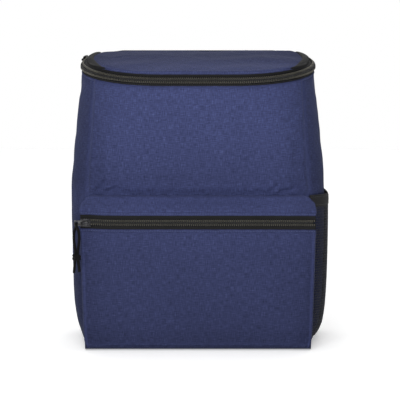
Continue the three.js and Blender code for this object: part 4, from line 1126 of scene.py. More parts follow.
# liner under the lid, domed and lightly crinkled, with a bound edge
def lid_lining():
    ring = ring_plan(1.0, 9.0, 80, 60, 60)
    c = CENTRE
    rings = []
    rows = [(k, 0) for k in np.linspace(0.04, 1.0, 26)] + [(k, 1) for k in np.linspace(1.0, 0.04, 10)]
    for k, top in rows:
        q = c + (ring - c) * k
        h = 9.5 + 3 * (1 - k**3) + (0.9 if top else 0.0)
        hh = np.full(len(q), h)
        if not top:
            hh = hh + 0.35 * (1 - k**8) * ripple(q[:, 0], q[:, 1], 61, 8, 26, 70)
        rings.append(lift(q, 1.0) + UP * hh[:, None])
    filled_ring("lid_lining", rings, "liner", "lid", ["lid_liner"])
    # binding that joins lining, foam and cloth round the lid's edge
    q2 = ring_plan(1.0, 4.6, 110, 90, 90)
    P = lift(q2, 1.0) + UP * (9.6 + 0.0)
    T = np.roll(P, -1, 0) - np.roll(P, 1, 0)
    T /= np.linalg.norm(T, axis=1, keepdims=True)
    O = np.cross(T, UP)
    th = np.linspace(0, 2 * math.pi, 17)[:-1]
    prof = [(3.8 * math.cos(a), 0.7 * math.sin(a) + 0.2 * math.cos(2 * a)) for a in th]
    # sits inside the tape
    sweep("lid_binding", P, O, np.repeat(UP[None], len(P), 0), prof, "black_cloth", "lid", closed_path=True)


lid_lining()


# ------------------------------------------------------------------ liner of the tub, and the binding over the foam's edge
def tub_lining():
    ts = rows_of(60, 14, RIM_FRONT_Z)
    ease = lambda t: 1.8 * rim_share(t)
    L0, L1 = 8.0, 9.0
    rings = []
    inner, outer = [], []
    for t in ts:
        q = ring_plan(t, L1 + ease(t))
        ang = np.arange(len(q)) / len(q) * 2 * math.pi
        w = 0.45 * ripple(ang * 120, np.full(len(q), t * RIM_FRONT_Z), 71, 8, 30, 80)
        cen = q.mean(0)
        dirn = (q - cen) / np.linalg.norm(q - cen, axis=1, keepdims=True)
        inner.append(lift(q - dirn * (0.5 + 0.0) - dirn * np.abs(w)[:, None], t))
        outer.append(lift(ring_plan(t, L0 + ease(t) + 0.4), t))
    top = lambda d: lift(ring_plan(1.0, d), 1.0) + UP * (SPLIT_H - 1.0)
    inner.append(top(L1 + 1.8 + 0.4))
    outer.append(top(L0 + 1.8 + 0.3))
    q = ring_plan(ts[0], L1)
    floor_in = [flat3(CENTRE * 0 + np.array([0, 1.0]) + (q - np.array([0, 1.0])) * k, 10.4 + 0.25 * math.sin(k * 30)) for k in np.linspace(0.05, 0.97, 14)]
    floor_out = [flat3(np.array([0, 1.0]) + (ring_plan(ts[0], L0 + 0.3) - np.array([0, 1.0])) * k, 9.4) for k in (0.97, 0.5, 0.05)]
    filled_ring("tub_lining", floor_in + inner + outer[::-1] + floor_out, "liner", "root", ["liner_tub"])
    P = lift(ring_plan(1.0, 6.0, 110, 90, 90), 1.0) + UP * (SPLIT_H - 0.95)
    T = np.roll(P, -1, 0) - np.roll(P, 1, 0)
    T /= np.linalg.norm(T, axis=1, keepdims=True)
    O = np.cross(T, UP)
    th = np.linspace(0, 2 * math.pi, 21)[:-1]
    prof = [(5.3 * math.cos(a), 0.05 + 0.75 * math.sin(a)) for a in th]
    sweep("rim_binding", P, O, np.repeat(UP[None], len(P), 0), prof, "black_cloth", "root", closed_path=True)
    stitches("rim_binding_stitch", P + UP * 0.55 - O * 2.6, UP[None].repeat(len(P), 0), O, 3.2, 2.2, 0.45, 0.4, "black_thread", "root")


tub_lining()


# ------------------------------------------------------------------ hinge cloth behind, half on the tub and half on the lid
def hinge_cloth():
    zt = rim_z(BACK_Y) + SPLIT_H
    zs = np.linspace(zt - 17, zt + 9.1, 60)
    xs = np.linspace(-118, 118, 90)
    P = np.zeros((90, 60, 3))
    P[..., 0] = xs[:, None]
    P[..., 2] = zs[None] - 2.6 * smooth(clamp((np.abs(xs) - 96) / 22))[:, None] * clamp((zs - zt) / 8.0)[None]
    bulge = 0.5 * np.exp(-(((zs - zt) / 3.0) ** 2))
    back = BACK_Y + 1.4 + bulge
    P[..., 1] = (back - 0.35 - TAN * np.maximum(0, zs - rim_z(BACK_Y)) - 0.5 * clamp((zs - (zt + 4)) / 4.0))[None]
    P[..., 1] += 0.15 * ripple(P[..., 0], P[..., 2], 81, 6, 20, 50)
    ob = shell("hinge_cloth", P, 0.8, (0, 1, 0), "black_cloth", None, ())
    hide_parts("lid_hinge_strip")
    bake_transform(ob)
    for k, (z, body) in enumerate(((zt - 14, "root"),)):
        line = np.stack([xs, np.full(90, BACK_Y + 1.45), np.full(90, z)], -1)
        stitches("hinge_stitch_%d" % k, line, np.repeat([[0, 1.0, 0]], 90, 0), np.repeat([[0, 0, 1.0]], 90, 0), 3.2, 2.2, 0.5, 0.5, "black_thread", body)


hinge_cloth()


# ------------------------------------------------------------------ pocket
def pocket_cloth():
    nu, nv = 170, 96
    P = pocket_front_rest(nu, nv)
    N = normals(P, np.array([0, -1.0, 0]))
    L, R_, B, T_, U, V = edge_dist(P)
    X, Z = P[..., 0], P[..., 2]
    e = np.minimum(L, R_)
    D = upsample(SIM_POCKET["D"], nu, nv)
    d = -0.9 * np.exp(-((e - 6.2) / 1.1) ** 2) + 0.7 * np.exp(-((e - 3.2) / 2.2) ** 2)      # sewn edge just in front of the corner
    d += 0.55 * np.exp(-((T_ - 4.2) / 2.4) ** 2) - 0.45 * np.exp(-(T_ / 1.6) ** 2)
    inside = smooth(clamp((e - 6) / 20)) * smooth(clamp(B / 14))
    d += inside * (0.32 * ripple(U, V, 91, 9, 44, 115, (0.9, 1.0)) + 0.10 * ripple(U, V, 92, 10, 13, 28))
    for x0, z0, x1, z1, w, k in ((-140, 5, -118, 30, 2.6, 1.4), (-136, 22, -124, 6, 2.2, 0.9), (140, 5, 116, 28, 2.6, 1.4), (136, 20, 122, 5, 2.2, 0.9), (-134, 60, -118, 84, 5, 0.6), (132, 118, 112, 92, 5, 0.7),
                               (133, 44, 114, 60, 4.5, 0.6), (-132, 130, -110, 118, 4.5, 0.6), (60, 140, 96, 128, 5, 0.35), (-60, 142, -20, 136, 5, 0.3)):
        d += crease(X, Z, (x0, z0), (x1, z1), w, k)
    d += 0.2 * np.exp(-((T_ - 5) / 5) ** 2) * np.sin(2 * math.pi * U / 7.5 + 1.2 * np.sin(U / 23))
    d += 0.22 * np.exp(-((e - 8) / 5) ** 2) * np.sin(2 * math.pi * V / 8.0 + np.sin(V / 13))
    d += 0.25 * np.exp(-((B - 9) / 5) ** 2) * np.sin(2 * math.pi * U / 9.5 + 1.5 * np.sin(U / 27))
    P2 = P + D + N * d[..., None]
    edge = 0.9 * np.exp(-((e - 4.2) / 1.4) ** 2) + 0.4 * np.exp(-((B - 6) / 2.5) ** 2)
    shell("pocket_front_cloth", P2, CLOTH * 0.9, (0, -1, 0), "shell_cloth", "pocket_front", ["pocket_front_panel"], edge)


pocket_cloth()


def zsag(x):
    """the pocket zip's gentle rise at its left end and fall at its right"""
    return 0.0 * x + 1.5 * np.exp(-((x + 146) / 26.0) ** 2) - 0.3 * np.exp(-((x - 146) / 40.0) ** 2)


def pocket_zip():
    xs = np.linspace(-PK_TOP + 0.4, PK_TOP - 0.4, 240)
    P = np.stack([xs, np.full(240, POCKET_Y), zsag(xs)], -1)
    N, U = np.repeat([[0, -1.0, 0]], 240, 0), np.repeat([[0, 0, 1.0]], 240, 0)
    lo = [(o, v) for o, v in strip_profile(-0.2, -1.2, PZ0 - 0.3, ZIP_MID - 0.75, ridge=0.28)]
    sweep("pocket_tape_lower", P, N, U, lo, "zip_tape", "pocket_front", ["pocket_zip_tape_lower"])
    hi = [(o, ZIP_MID + 0.75 + PZ1 - v) for o, v in strip_profile(-0.2, -1.2, ZIP_MID + 0.75, PZ1, ridge=0.28)]
    sweep("pocket_tape_upper", P, N, U, hi, "zip_tape", "root", ["pocket_zip_tape_upper"])
    for nm, b0, b1, body, cad, ph in (("pocket_coil_lower", ZIP_MID - 3.45, ZIP_MID + 0.4, "pocket_front", "pocket_zip_coil_lower", 0.0), ("pocket_coil_upper", ZIP_MID + 3.45, ZIP_MID - 0.4, "root", "pocket_zip_coil_upper", 0.5)):
        v, f, u = coil(P, N, U, b0, b1, 0.45, 1.95, 2.5, 0.46, ph)
        merge(nm, [(v, f)], "zip_coil", body, [cad])
    # pale coil stitches: painted highlight standing in for glints on the coil
    for k, (b, body) in enumerate(((ZIP_MID - 3.0, "pocket_front"), (ZIP_MID - 1.7, "pocket_front"), (ZIP_MID + 3.0, "root"), (ZIP_MID + 1.7, "root"))):
        stitches("pocket_coil_stitch_%d" % k, P + N * 1.9 + U * b, N, U, 2.5, 0.85, 0.6, 1.1, "coil_painted_glint_thread", body)
    th = np.linspace(0, 2 * math.pi, 13)[:-1]
    sweep("pocket_fold_lower", P, N, U, [(0.35 + 0.7 * math.cos(a), PZ0 - 0.4 + 1.7 * math.sin(a)) for a in th], "shell_cloth", "pocket_front")
    stitches("pocket_stitch_lower", P + N * 1.0 + U * (PZ0 - 0.8), N, U, 3.1, 2.1, 0.5, 0.5, "seam_thread", "pocket_front")
    sweep("pocket_fold_upper", P, N, U, [(0.35 + 0.7 * math.cos(a), PZ1 + 0.5 + 1.7 * math.sin(a)) for a in th], "shell_cloth", "root")
    stitches("pocket_stitch_upper", P + N * 1.0 + U * (PZ1 + 1.0), N, U, 3.1, 2.1, 0.5, 0.5, "seam_thread", "root")


pocket_zip()


def pocket_band():
    """cloth from the front panel forwards and down to the zip"""
    nu, nv = 170, 44
    yb = -76 - GAP
    pts = np.array([[yb, POCKET_BACK_Z + 0.6], [yb - 3, POCKET_BACK_Z + 0.2], [yb - 9, POCKET_BACK_Z - 1.2], [-94, POCKET_BACK_Z - 7], [-101, POCKET_BACK_Z - 11], [POCKET_Y + 1.5, PZ1 + 4.5], [POCKET_Y, PZ1 + 0.8]])
    s = np.concatenate([[0], np.cumsum(np.linalg.norm(np.diff(pts, axis=0), axis=1))])
    q = np.linspace(0, s[-1], nv)
    prof = np.stack([np.interp(q, s, pts[:, 0]), np.interp(q, s, pts[:, 1])], -1)
    for _ in range(4):
        prof[1:-1] = (prof[:-2] + 2 * prof[1:-1] + prof[2:]) / 4
    hw = np.interp(q, s, [133.5, 135.5, 138.5, 143.0, 144.4, 144.8, 144.6])
    k = np.linspace(-1, 1, nu)
    P = np.zeros((nu, nv, 3))
    P[..., 0] = k[:, None] * hw[None]
    P[..., 1] = prof[None, :, 0]
    P[..., 2] = prof[None, :, 1] + zsag(P[..., 0]) * np.linspace(0, 1, nv)[None]
    N = normals(P, np.array([0, -0.5, 1.0]))
    L, R_, B, T_, U, V = edge_dist(P)
    e = np.minimum(L, R_)
    d = seam_profile(e, 2.4, 0.9) + 0.5 * np.exp(-((e - 4.5) / 2.4) ** 2) + 0.4 * np.exp(-((T_ - 4) / 2.2) ** 2) - 0.4 * np.exp(-(T_ / 1.5) ** 2)
    mid = smooth(clamp(B / 6)) * smooth(clamp(T_ / 4))
    d += mid * (0.35 * ripple(U, V * 1.2, 101, 8, 24, 80, (1.0, 0.6)) + 0.12 * ripple(U, V, 102, 8, 11, 22))
    d += 0.35 * np.exp(-((B - 4) / 5) ** 2) * np.sin(2 * math.pi * U / 13 + 2 * np.sin(U / 31))
    for x0, v0, x1, v1, w, kk in ((-132, 8, -110, 26, 2.6, 1.0), (132, 8, 112, 28, 2.6, 1.1), (70, 6, 92, 20, 2.6, 0.6), (-64, 8, -40, 20, 2.6, 0.5)):
        d += crease(U, V, (x0, v0), (x1, v1), w, kk)
    P2 = P + N * d[..., None]
    shell("pocket_band_cloth", P2, CLOTH * 0.9, (0, -0.5, 1), "shell_cloth", "root", ["pocket_top_band"], 0.7 * np.exp(-((e - 1.5) / 1.5) ** 2))


pocket_band()


def pocket_sides():
    """bellows between the tub's front seam and the pocket's front"""
    for name, s in (("left", -1), ("right", 1)):
        nu, nv = 26, 110
        zs = np.linspace(1.2, PZ1 + 1.5, nv)
        P = np.zeros((nu, nv, 3))
        for j, z in enumerate(zs):
            w = float(pk_half(z))
            y0, y1 = -77.3, POCKET_Y + 3.2
            wt = f_w(z)
            R = f_r(z)
            # starts on the tub's rounded corner and runs forward to the pocket's edge
            xt = f_s(z) + 3.2
            q = np.linspace(0, 1, nu)
            x = xt + (w - 0.4 - xt) * smooth(q) + 1.2 * np.sin(math.pi * q)
            P[:, j, 0] = s * x
            yt = f_y(z) + R - math.sqrt(max(1.0, R * R - (xt - (wt - R)) ** 2))
            yt = min(-70.0, yt)
            P[:, j, 1] = yt - 0.6 + (y1 - yt + 0.6) * q
            P[:, j, 2] = z + (0 if z < PZ0 else 0) + (q * zsag(s * 144.0) if z > PZ0 - 6 else 0)
        N = normals(P, np.array([s, 0, 0.0]))
        L, R_, B, T_, U, V = edge_dist(P)
        d = 0.3 * ripple(U, V, 111 + s, 7, 16, 50) * smooth(clamp(np.minimum(L, R_) / 6)) - 0.5 * np.exp(-(R_ / 2) ** 2)
        P = P + N * d[..., None]
        ob = shell("pocket_side_cloth_" + name, P, 0.9, (s, 0, 0), "shell_cloth_side", None, ())
        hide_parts("pocket_gusset_" + name)
        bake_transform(ob)


pocket_sides()


def pocket_cheeks():
    """closes each end of the band down to the bellows"""
    for name, s in (("left", -1), ("right", 1)):
        nu, nv = 40, 24
        crest = resample([[132.2, -77.2, 187.6], [136.3, -85.0, 186.2], [141.2, -90.0, 183.0], [143.9, -94, 180.2], [144.3, -100, 175.7], [144.5, -106.6, 170.6]], nu)
        foot = resample([[141.6, -76.0, 163.8], [143.4, -80.0, 163.8], [144.4, -92, 163.8], [144.6, -106.8, 163.8]], nu)
        crest[:, 2] += zsag(s * 144.0) * np.linspace(0, 1, nu)
        foot[:, 2] += zsag(s * 144.0) * np.linspace(0, 1, nu)
        v = np.linspace(0, 1, nv)[None, :, None]
        P = foot[:, None] * (1 - v) + crest[:, None] * v
        P[..., 0] += 0.9 * np.sin(math.pi * v[..., 0]) * np.sin(math.pi * np.linspace(0.05, 0.95, nu))[:, None]
        P = P * [s, 1, 1]
        shell("pocket_cheek_cloth_" + name, P, 0.8, (s, 0, 0), "shell_cloth_side", "root", ["pocket_cheek_" + name])


pocket_cheeks()


def pocket_floor():
    nu, nv = 60, 30
    prof = resample([[-71.5, 0.5], [-76, 0.15], [-98, 0.15], [-103, 0.8], [-105.6, 2.4], [-107.3, 5.0]], nv)
    for _ in range(3):
        prof[1:-1] = (prof[:-2] + 2 * prof[1:-1] + prof[2:]) / 4
    k = np.linspace(-1, 1, nu)
    P = np.zeros((nu, nv, 3))
    P[..., 0] = k[:, None] * (PK_BOTTOM - 1.6)
    P[..., 1], P[..., 2] = prof[None, :, 0], prof[None, :, 1] + 0.0
    P[..., 2] = np.maximum(P[..., 2], 0.12)
    shell("pocket_floor_cloth", P, 0.9, (0, -0.3, -1), "shell_cloth_side", "root", ["pocket_base_panel"])


pocket_floor()

# ------------------------------------------------------------------ mesh pocket
def mesh_pocket():
    Rr, plan_n = None, 61

    def skin(z, lift_):
        t = z / RIM_FRONT_Z
        base = side_raw(t, -lift_, 1)
        return base

    def point(z, extra):
        # bulge between the sewn edges, as in the solid
        a = resample(side_raw(z / RIM_FRONT_Z, 0.0, 1), plan_n)
        k = np.linspace(0, 1, plan_n)
        g = float(np.interp(z, [9, 14, 26, 65, 120, 168, 187], [0.15, 0.75, 1, 1, 1, 0.97, 0.93]))
        off = 1.0 + extra + 4.4 * np.sin(math.pi * k) ** 0.6 * g
        n = np.gradient(a, axis=0)
        n = np.stack([n[:, 1], -n[:, 0]], -1)
        n /= np.linalg.norm(n, axis=1, keepdims=True)
        if n[plan_n // 2, 0] < 0:
            n = -n
        return a + n * off[:, None]

    zs = np.linspace(9, 175, 56)
    S = np.stack([np.concatenate([point(z, 0.3), np.full((plan_n, 1), z)], 1) for z in zs], 1)      # (61, 56, 3)
    S[..., 2] += 0.0
    U = np.concatenate([np.zeros((1, 56)), np.cumsum(np.linalg.norm(np.diff(S, axis=0), axis=2), 0)], 0)
    keep = slice(1, plan_n - 1)
    S, U = S[keep], U[keep]
    # net: staggered hexagonal cells drawn on the surface, then turned into filaments
    W, H = float(U[-1].mean() - U[0].mean()), float(zs[-1] - zs[0])
    cw, ch = 2.9, 3.3
    nc, nr = int(W / cw), int(H / ch)
    verts, index, edges = [], {}, []

    def vert(u, v):
        key = (round(u, 3), round(v, 3))
        if key not in index:
            fu, fv = clamp(u / W) * (S.shape[0] - 1), clamp(v / H) * (S.shape[1] - 1)
            i, j = min(int(fu), S.shape[0] - 2), min(int(fv), S.shape[1] - 2)
            a, b = fu - i, fv - j
            p = S[i, j] * (1 - a) * (1 - b) + S[i + 1, j] * a * (1 - b) + S[i, j + 1] * (1 - a) * b + S[i + 1, j + 1] * a * b
            index[key] = len(verts)
            verts.append(p)
        return index[key]

    faces = []
    cw, ch = W / nc, H / nr
    for r in range(nr):
        for c in range(nc + 1):
            cx, cy = (c + (0.5 if r % 2 else 0.0)) * cw, (r + 0.5) * ch
            if cx > W + 1e-6:
                continue
            hexa = [(cx, cy + 0.66 * ch), (cx + cw / 2, cy + 0.34 * ch), (cx + cw / 2, cy - 0.34 * ch), (cx, cy - 0.66 * ch), (cx - cw / 2, cy - 0.34 * ch), (cx - cw / 2, cy + 0.34 * ch)]
            f = []
            for u, v in hexa:
                k = vert(round(min(max(u, 0), W), 3), round(min(max(v, 0), H), 3))
                if k not in f:
                    f.append(k)
            if len(f) >= 3:
                faces.append(f)
    ob = mesh_object("mesh_net", np.array(verts), faces, "mesh")
    bpy.context.view_layer.objects.active = ob
    wf = ob.modifiers.new("net", "WIREFRAME")
    wf.thickness = 0.00085
    wf.use_even_offset = False
    wf.use_replace = True
    wf.use_boundary = True
    dg = bpy.context.evaluated_depsgraph_get()
    me = bpy.data.meshes.new_from_object(ob.evaluated_get(dg))
    ob.modifiers.clear()
    ob.data = me
    for p in me.polygons:
        p.use_smooth = True
    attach(ob, "root")
    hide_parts("mesh_pocket_panel")
    # folded binding over elastic, along the top
    bz = np.linspace(173.5, 188.0, 14)
    k = np.linspace(0, 1, plan_n)
    rows = []
    for z in bz:
        p = point(z, 0.7)
        roll = 0.55 * math.sin(math.pi * (z - 173.5) / 14.5) ** 0.5
        n = np.gradient(p, axis=0)
        n = np.stack([n[:, 1], -n[:, 0]], -1)
        n /= np.linalg.norm(n, axis=1, keepdims=True)
        p = p + n * (roll + 0.18 * np.sin(2 * math.pi * k * 34) * np.sin(math.pi * (z - 173.5) / 14.5))[:, None]
        rows.append(np.concatenate([p, np.full((plan_n, 1), z)], 1))
    B = np.stack(rows, 1)
    shell("mesh_binding_cloth", B, 1.4, (1, 0, 0), "elastic", "root", ["mesh_pocket_binding"])
    N = normals(B, np.array([1.0, 0, 0]))
    for nm, j in (("a", 2), ("b", 11)):
        stitches("mesh_binding_stitch_" + nm, B[:, j] + N[:, j] * 0.0, N[:, j], np.repeat([[0, 0, 1.0]], plan_n, 0), 3.0, 2.0, 0.45, 0.5, "black_thread", "root")
    # narrow tape round the sewn edges of the net
    for nm, i in (("front", 0), ("back", -1)):
        E = np.stack([np.concatenate([point(z, 0.0)[i + 1 if i == 0 else i - 1], [z]]) for z in np.linspace(9, 187, 60)])
        T = np.gradient(E, axis=0)
        T /= np.linalg.norm(T, axis=1, keepdims=True)
        o = np.array([[0.35, -0.94, 0.0]]) if i == 0 else np.array([[0.7, 0.7, 0.0]])
        O = np.repeat(o, 60, 0)
        Wd = np.cross(T, O)
        th = np.linspace(0, 2 * math.pi, 13)[:-1]
        sweep("mesh_edge_" + nm, E, O, Wd, [(0.55 * math.cos(a) - 0.3, 2.4 * math.sin(a)) for a in th], "elastic", "root")


mesh_pocket()


# ------------------------------------------------------------------ sliders, tabs, cord
def frame_matrix(o, T, U, N):
    m = Matrix.Identity(4)
    for c, v in enumerate((T, U, N)):
        for r in range(3):
            m[r][c] = float(v[r])
    for r in range(3):
        m[r][3] = float(o[r])
    return m


def outline_solid(name, loops, depth, bevel, centre_z, place, mat, body, replaces=(), res=3):
    """Flat plate from closed outlines (the first is the outside, the rest are windows), with rounded edges."""
    cu = bpy.data.curves.new(name, "CURVE")
    cu.dimensions = "2D"
    cu.fill_mode = "BOTH"
    cu.extrude = max(0.0, depth / 2 - bevel) * 0.001
    cu.bevel_depth = bevel * 0.001
    cu.bevel_resolution = res
    cu.offset = -bevel * 0.001
    for pts in loops:
        sp = cu.splines.new("POLY")
        sp.points.add(len(pts) - 1)
        for p, (x, y) in zip(sp.points, pts):
            p.co = (x * 0.001, y * 0.001, 0, 1)
        sp.use_cyclic_u = True
    tmp = bpy.data.objects.new(name + "_tmp", cu)
    bpy.context.scene.collection.objects.link(tmp)
    dg = bpy.context.evaluated_depsgraph_get()
    me = bpy.data.meshes.new_from_object(tmp.evaluated_get(dg))
    bpy.data.objects.remove(tmp)
    me.transform(Matrix.Translation((0, 0, centre_z * 0.001)))
    me.transform(place)
    bm = bmesh.new()
    bm.from_mesh(me)
    bmesh.ops.remove_doubles(bm, verts=bm.verts, dist=1e-6)
    bmesh.ops.recalc_face_normals(bm, faces=bm.faces)
    bm.to_mesh(me)
    bm.free()
    ob = bpy.data.objects.new(name, me)
    bpy.context.scene.collection.objects.link(ob)
    me.materials.clear()
    me.materials.append(M[mat])
    for p in me.polygons:
        p.use_smooth = len(p.vertices) <= 4
    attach(ob, body)
    if replaces:
        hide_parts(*replaces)
    return ob


def rounded(x0, x1, y0, y1, r, n=6):
    pts = []
    for cx, cy, a0 in ((x1 - r, y1 - r, 0), (x0 + r, y1 - r, 90), (x0 + r, y0 + r, 180), (x1 - r, y0 + r, 270)):
        for k in range(n + 1):
            a = math.radians(a0 + 90 * k / n)
            pts.append((cx + r * math.cos(a), cy + r * math.sin(a)))
    return pts


def soft_boxes(name, boxes, bevel, place, mat, body, replaces=()):
    """several small blocks with rounded edges, as one piece"""
    bm = bmesh.new()
    for (x0, x1, y0, y1, z0, z1) in boxes:
        r = bmesh.ops.create_cube(bm, size=1)
        for v in r["verts"]:
            v.co = Vector((((x0 + x1) / 2 + v.co.x * (x1 - x0)) / 1000, ((y0 + y1) / 2 + v.co.y * (y1 - y0)) / 1000, ((z0 + z1) / 2 + v.co.z * (z1 - z0)) / 1000))
    bmesh.ops.bevel(bm, geom=bm.edges[:], offset=bevel / 1000, segments=3, profile=0.6, affect="EDGES", clamp_overlap=True)
    me = bpy.data.meshes.new(name)
    bm.to_mesh(me)
    bm.free()
    me.transform(place)
    for p in me.polygons:
        p.use_smooth = True
    ob = bpy.data.objects.new(name, me)
    bpy.context.scene.collection.objects.link(ob)
    me.materials.append(M[mat])
    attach(ob, body)
    if replaces:
        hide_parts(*replaces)
    return ob


TAB_N, TAB_PIVOT, TAB_END = 4.85, 1.4, -14.0


def slant_matrix(deg):
    p = Matrix.Translation((TAB_PIVOT * 0.001, 0, TAB_N * 0.001))
    return p @ Matrix.Rotation(math.radians(deg), 4, "Y") @ p.inverted()


def slider_set(prefix, o, T, U, N, slant, slider_body, pull_body):
    F = frame_matrix(np.array(o) * 0.001, T, U, N)
    plate = [(-6.6, -2.2), (-6.4, -3.7), (-5.2, -4.6), (-3, -5.0), (2, -5.05), (5, -4.9), (6.3, -4.3), (6.6, -3.2), (6.6, 3.2), (6.3, 4.3), (5, 4.9), (2, 5.05), (-3, 5.0), (-5.2, 4.6), (-6.4, 3.7), (-6.6, 2.2), (-6.0, 0.0)]
    outline_solid(prefix + "_slider_plate", [plate], 1.2, 0.45, 3.25, F, "slider_metal", slider_body, [prefix + "_slider"])
    soft_boxes(prefix + "_slider_flanges", [(-6, 6, -5.15, -4.4, 0.6, 3.3)], 0.25, F, "slider_metal", slider_body)
    # arch that holds the pull: a bent strap
    path = [(-4.6, 3.4), (-4.55, 5.3), (-4.1, 6.3), (-3.2, 6.75), (0, 6.9), (3.2, 6.75), (4.1, 6.3), (4.55, 5.3), (4.6, 3.4)]
    C = np.array([[x, 0, z] for x, z in resample(path, 22)])
    Tt = np.gradient(C, axis=0)
    Tt /= np.linalg.norm(Tt, axis=1, keepdims=True)
    side = np.repeat([[0, 1.0, 0]], 22, 0)
    nrm = np.cross(Tt, side)
    th = np.linspace(0, 2 * math.pi, 13)[:-1]
    prof = [(0.5 * np.sign(math.cos(a)) * abs(math.cos(a)) ** 0.6, 1.2 * np.sign(math.sin(a)) * abs(math.sin(a)) ** 0.6) for a in th]
    ob = sweep(prefix + "_slider_arch", C, nrm, side, prof, "slider_metal")
    ob.data.transform(F)
    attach(ob, slider_body)
    S = F @ slant_matrix(slant)
    outer = rounded(TAB_END, 2.1, -3.4, 3.4, 1.5)
    w1, w2 = rounded(-5.6, 0.7, -1.75, 1.75, 0.8)[::-1], rounded(-12.6, -9.0, -1.9, 1.9, 0.9)[::-1]
    outline_solid(prefix + "_tab_plate", [outer, w1, w2], 1.1, 0.32, TAB_N + 0.1, S, "tab_metal", pull_body, [prefix + "_pull_tab"])


POCKET_O = (-137.6, POCKET_Y, ZIP_MID)
slider_set("pocket", (POCKET_O[0], POCKET_O[1], POCKET_O[2]), (1, 0, 0), (0, 0, 1), (0, -1, 0), 12, "pocket_slider", "pocket_pull")
w_, yf_, R_, ry_, _s = at(1.0)
AA = math.radians(107)
ARC_C = lift(np.array([-(w_ - R_), yf_ + ry_]), 1.0, SPLIT_H)
ARC_N = np.array([-math.sin(AA), -math.cos(AA) * COS, -math.cos(AA) * SIN])
ARC_T = np.cross(UP, ARC_N)
ARC_T /= np.linalg.norm(ARC_T)
slider_set("main", ARC_C + ARC_N * R_, ARC_T, UP, ARC_N, 0, "main_slider", "main_pull")

HANG_T = TAB_PIVOT + (-10.8 - TAB_PIVOT) * math.cos(math.radians(12))
HANG_N = TAB_N + (TAB_PIVOT + 10.8) * math.sin(math.radians(12))
to_world = lambda a, b, c: np.array([POCKET_O[0] + a, POCKET_O[1] - c, POCKET_O[2] + b])


def spline(points, n):
    P = np.asarray(points, float)
    s = np.concatenate([[0], np.cumsum(np.linalg.norm(np.diff(P, axis=0), axis=1))])
    out = []
    for q in np.linspace(0, s[-1], n):
        i = min(max(int(np.searchsorted(s, q, side="right")) - 1, 0), len(P) - 2)
        t = (q - s[i]) / (s[i + 1] - s[i])
        a, b, c, d = P[max(i - 1, 0)], P[i], P[i + 1], P[min(i + 2, len(P) - 1)]
        out.append(b + 0.5 * t * (c - a + t * (2 * a - 5 * b + 4 * c - d + t * (3 * (b - c) + d - a))))
    return np.array(out)


def cord_pieces():
    leg = [(0, 0.05, 0), (0, -0.35, 1.35), (0, -1.3, 2.3), (0.1, -2.6, 2.65), (1.2, -5.4, 2.5), (3.2, -10, 1.9), (3.95, -16, 1.2), (3.7, -22, 0.7), (2.7, -28, 0.3), (1.9, -33, 0.0), (1.6, -38, 0.0), (1.55, -42, 0.0), (1.7, -45, 0.1), (2.3, -50, 0.3), (2.9, -56, 0.2), (3.3, -61.0, 0.0)]
    away = lambda b: 0.35 * float(smooth(clamp((-b - 6) / 22)))
    # the knot: two turns of the same cord round both legs, and one crossing
    t = np.linspace(0, 2 * math.pi * 2.35, 90)
    kz = -39.2 - 5.4 * (t / t[-1])
    rad_x, rad_c = 3.75, 2.3
    wrap = np.stack([HANG_T + rad_x * np.cos(t + 0.6), kz + 0.5 * np.sin(t * 0.5), HANG_N + away(-40) + rad_c * np.sin(t + 0.6)], -1)
    cross = spline([wrap[-1], wrap[-1] + [1.2, 1.6, 1.4], (HANG_T - 1.0, -41.3, HANG_N + 4.6), (HANG_T - 2.9, -39.5, HANG_N + 2.9), (HANG_T - 1.6, -38.0, HANG_N + 1.9)], 24)
    route = np.concatenate([wrap, cross[1:]])
    v, f, u = tube([to_world(*p) for p in route], 1.65, 12)
    knot = mesh_object("cord_knot", v, f, "cord", "pocket_pull", (), u)
    fix_normals(knot)
    for name, s in (("left", -1), ("right", 1)):
        pts = np.array([to_world(HANG_T + s * a * (1.0 if b > -42 else 1.0), b + (1.5 if s > 0 and b < -52 else 0.0), HANG_N + s * c + away(b)) for a, b, c in leg])
        pts[2:-5, 0] = to_world(HANG_T, 0, 0)[0] + (pts[2:-5, 0] - to_world(HANG_T, 0, 0)[0]) * 0.84
        P = spline(pts, 40)
        P[0] = pts[0]
        v, f, u = tube(P, 1.7, 12)
        # the cut end is sealed
        ob = mesh_object("pull_cord_" + name, v, f, "cord", "pocket_pull", (["pocket_pull_cord"] if s > 0 else ()), u)
        fix_normals(ob)


cord_pieces()


# ------------------------------------------------------------------ harness
YB = BACK_Y + GAP
LOCK_X, HANDLE_Z = 100.0, 322.0


def ribbon(name, pts, half, thick, s, mat, body, replaces, n=90, x_of=None):
    """flat webbing along a route in (x, y, z), its width along X"""
    P = spline(pts, n)
    T = np.gradient(P, axis=0)
    T /= np.linalg.norm(T, axis=1, keepdims=True)
    side = np.repeat([[1.0, 0, 0]], n, 0)
    side = side - T * (side * T).sum(1, keepdims=True)
    side /= np.linalg.norm(side, axis=1, keepdims=True)
    nrm = np.cross(T, side)
    th = np.linspace(-1, 1, 21)
    top = [(thick / 2 * (1 - abs(k) ** 8 * 0.6) + 0.05 * math.cos(k * 9 * math.pi), k * half) for k in th]
    bot = [(-thick / 2 * (1 - abs(k) ** 8 * 0.6) - 0.05 * math.cos(k * 9 * math.pi), k * half) for k in th[::-1]]
    U = None
    P = P * [s, 1, 1]
    side, nrm = side * [s, 1, 1], nrm * [s, 1, 1]
    return sweep(name, P, nrm, side, top + bot, mat, body, replaces)


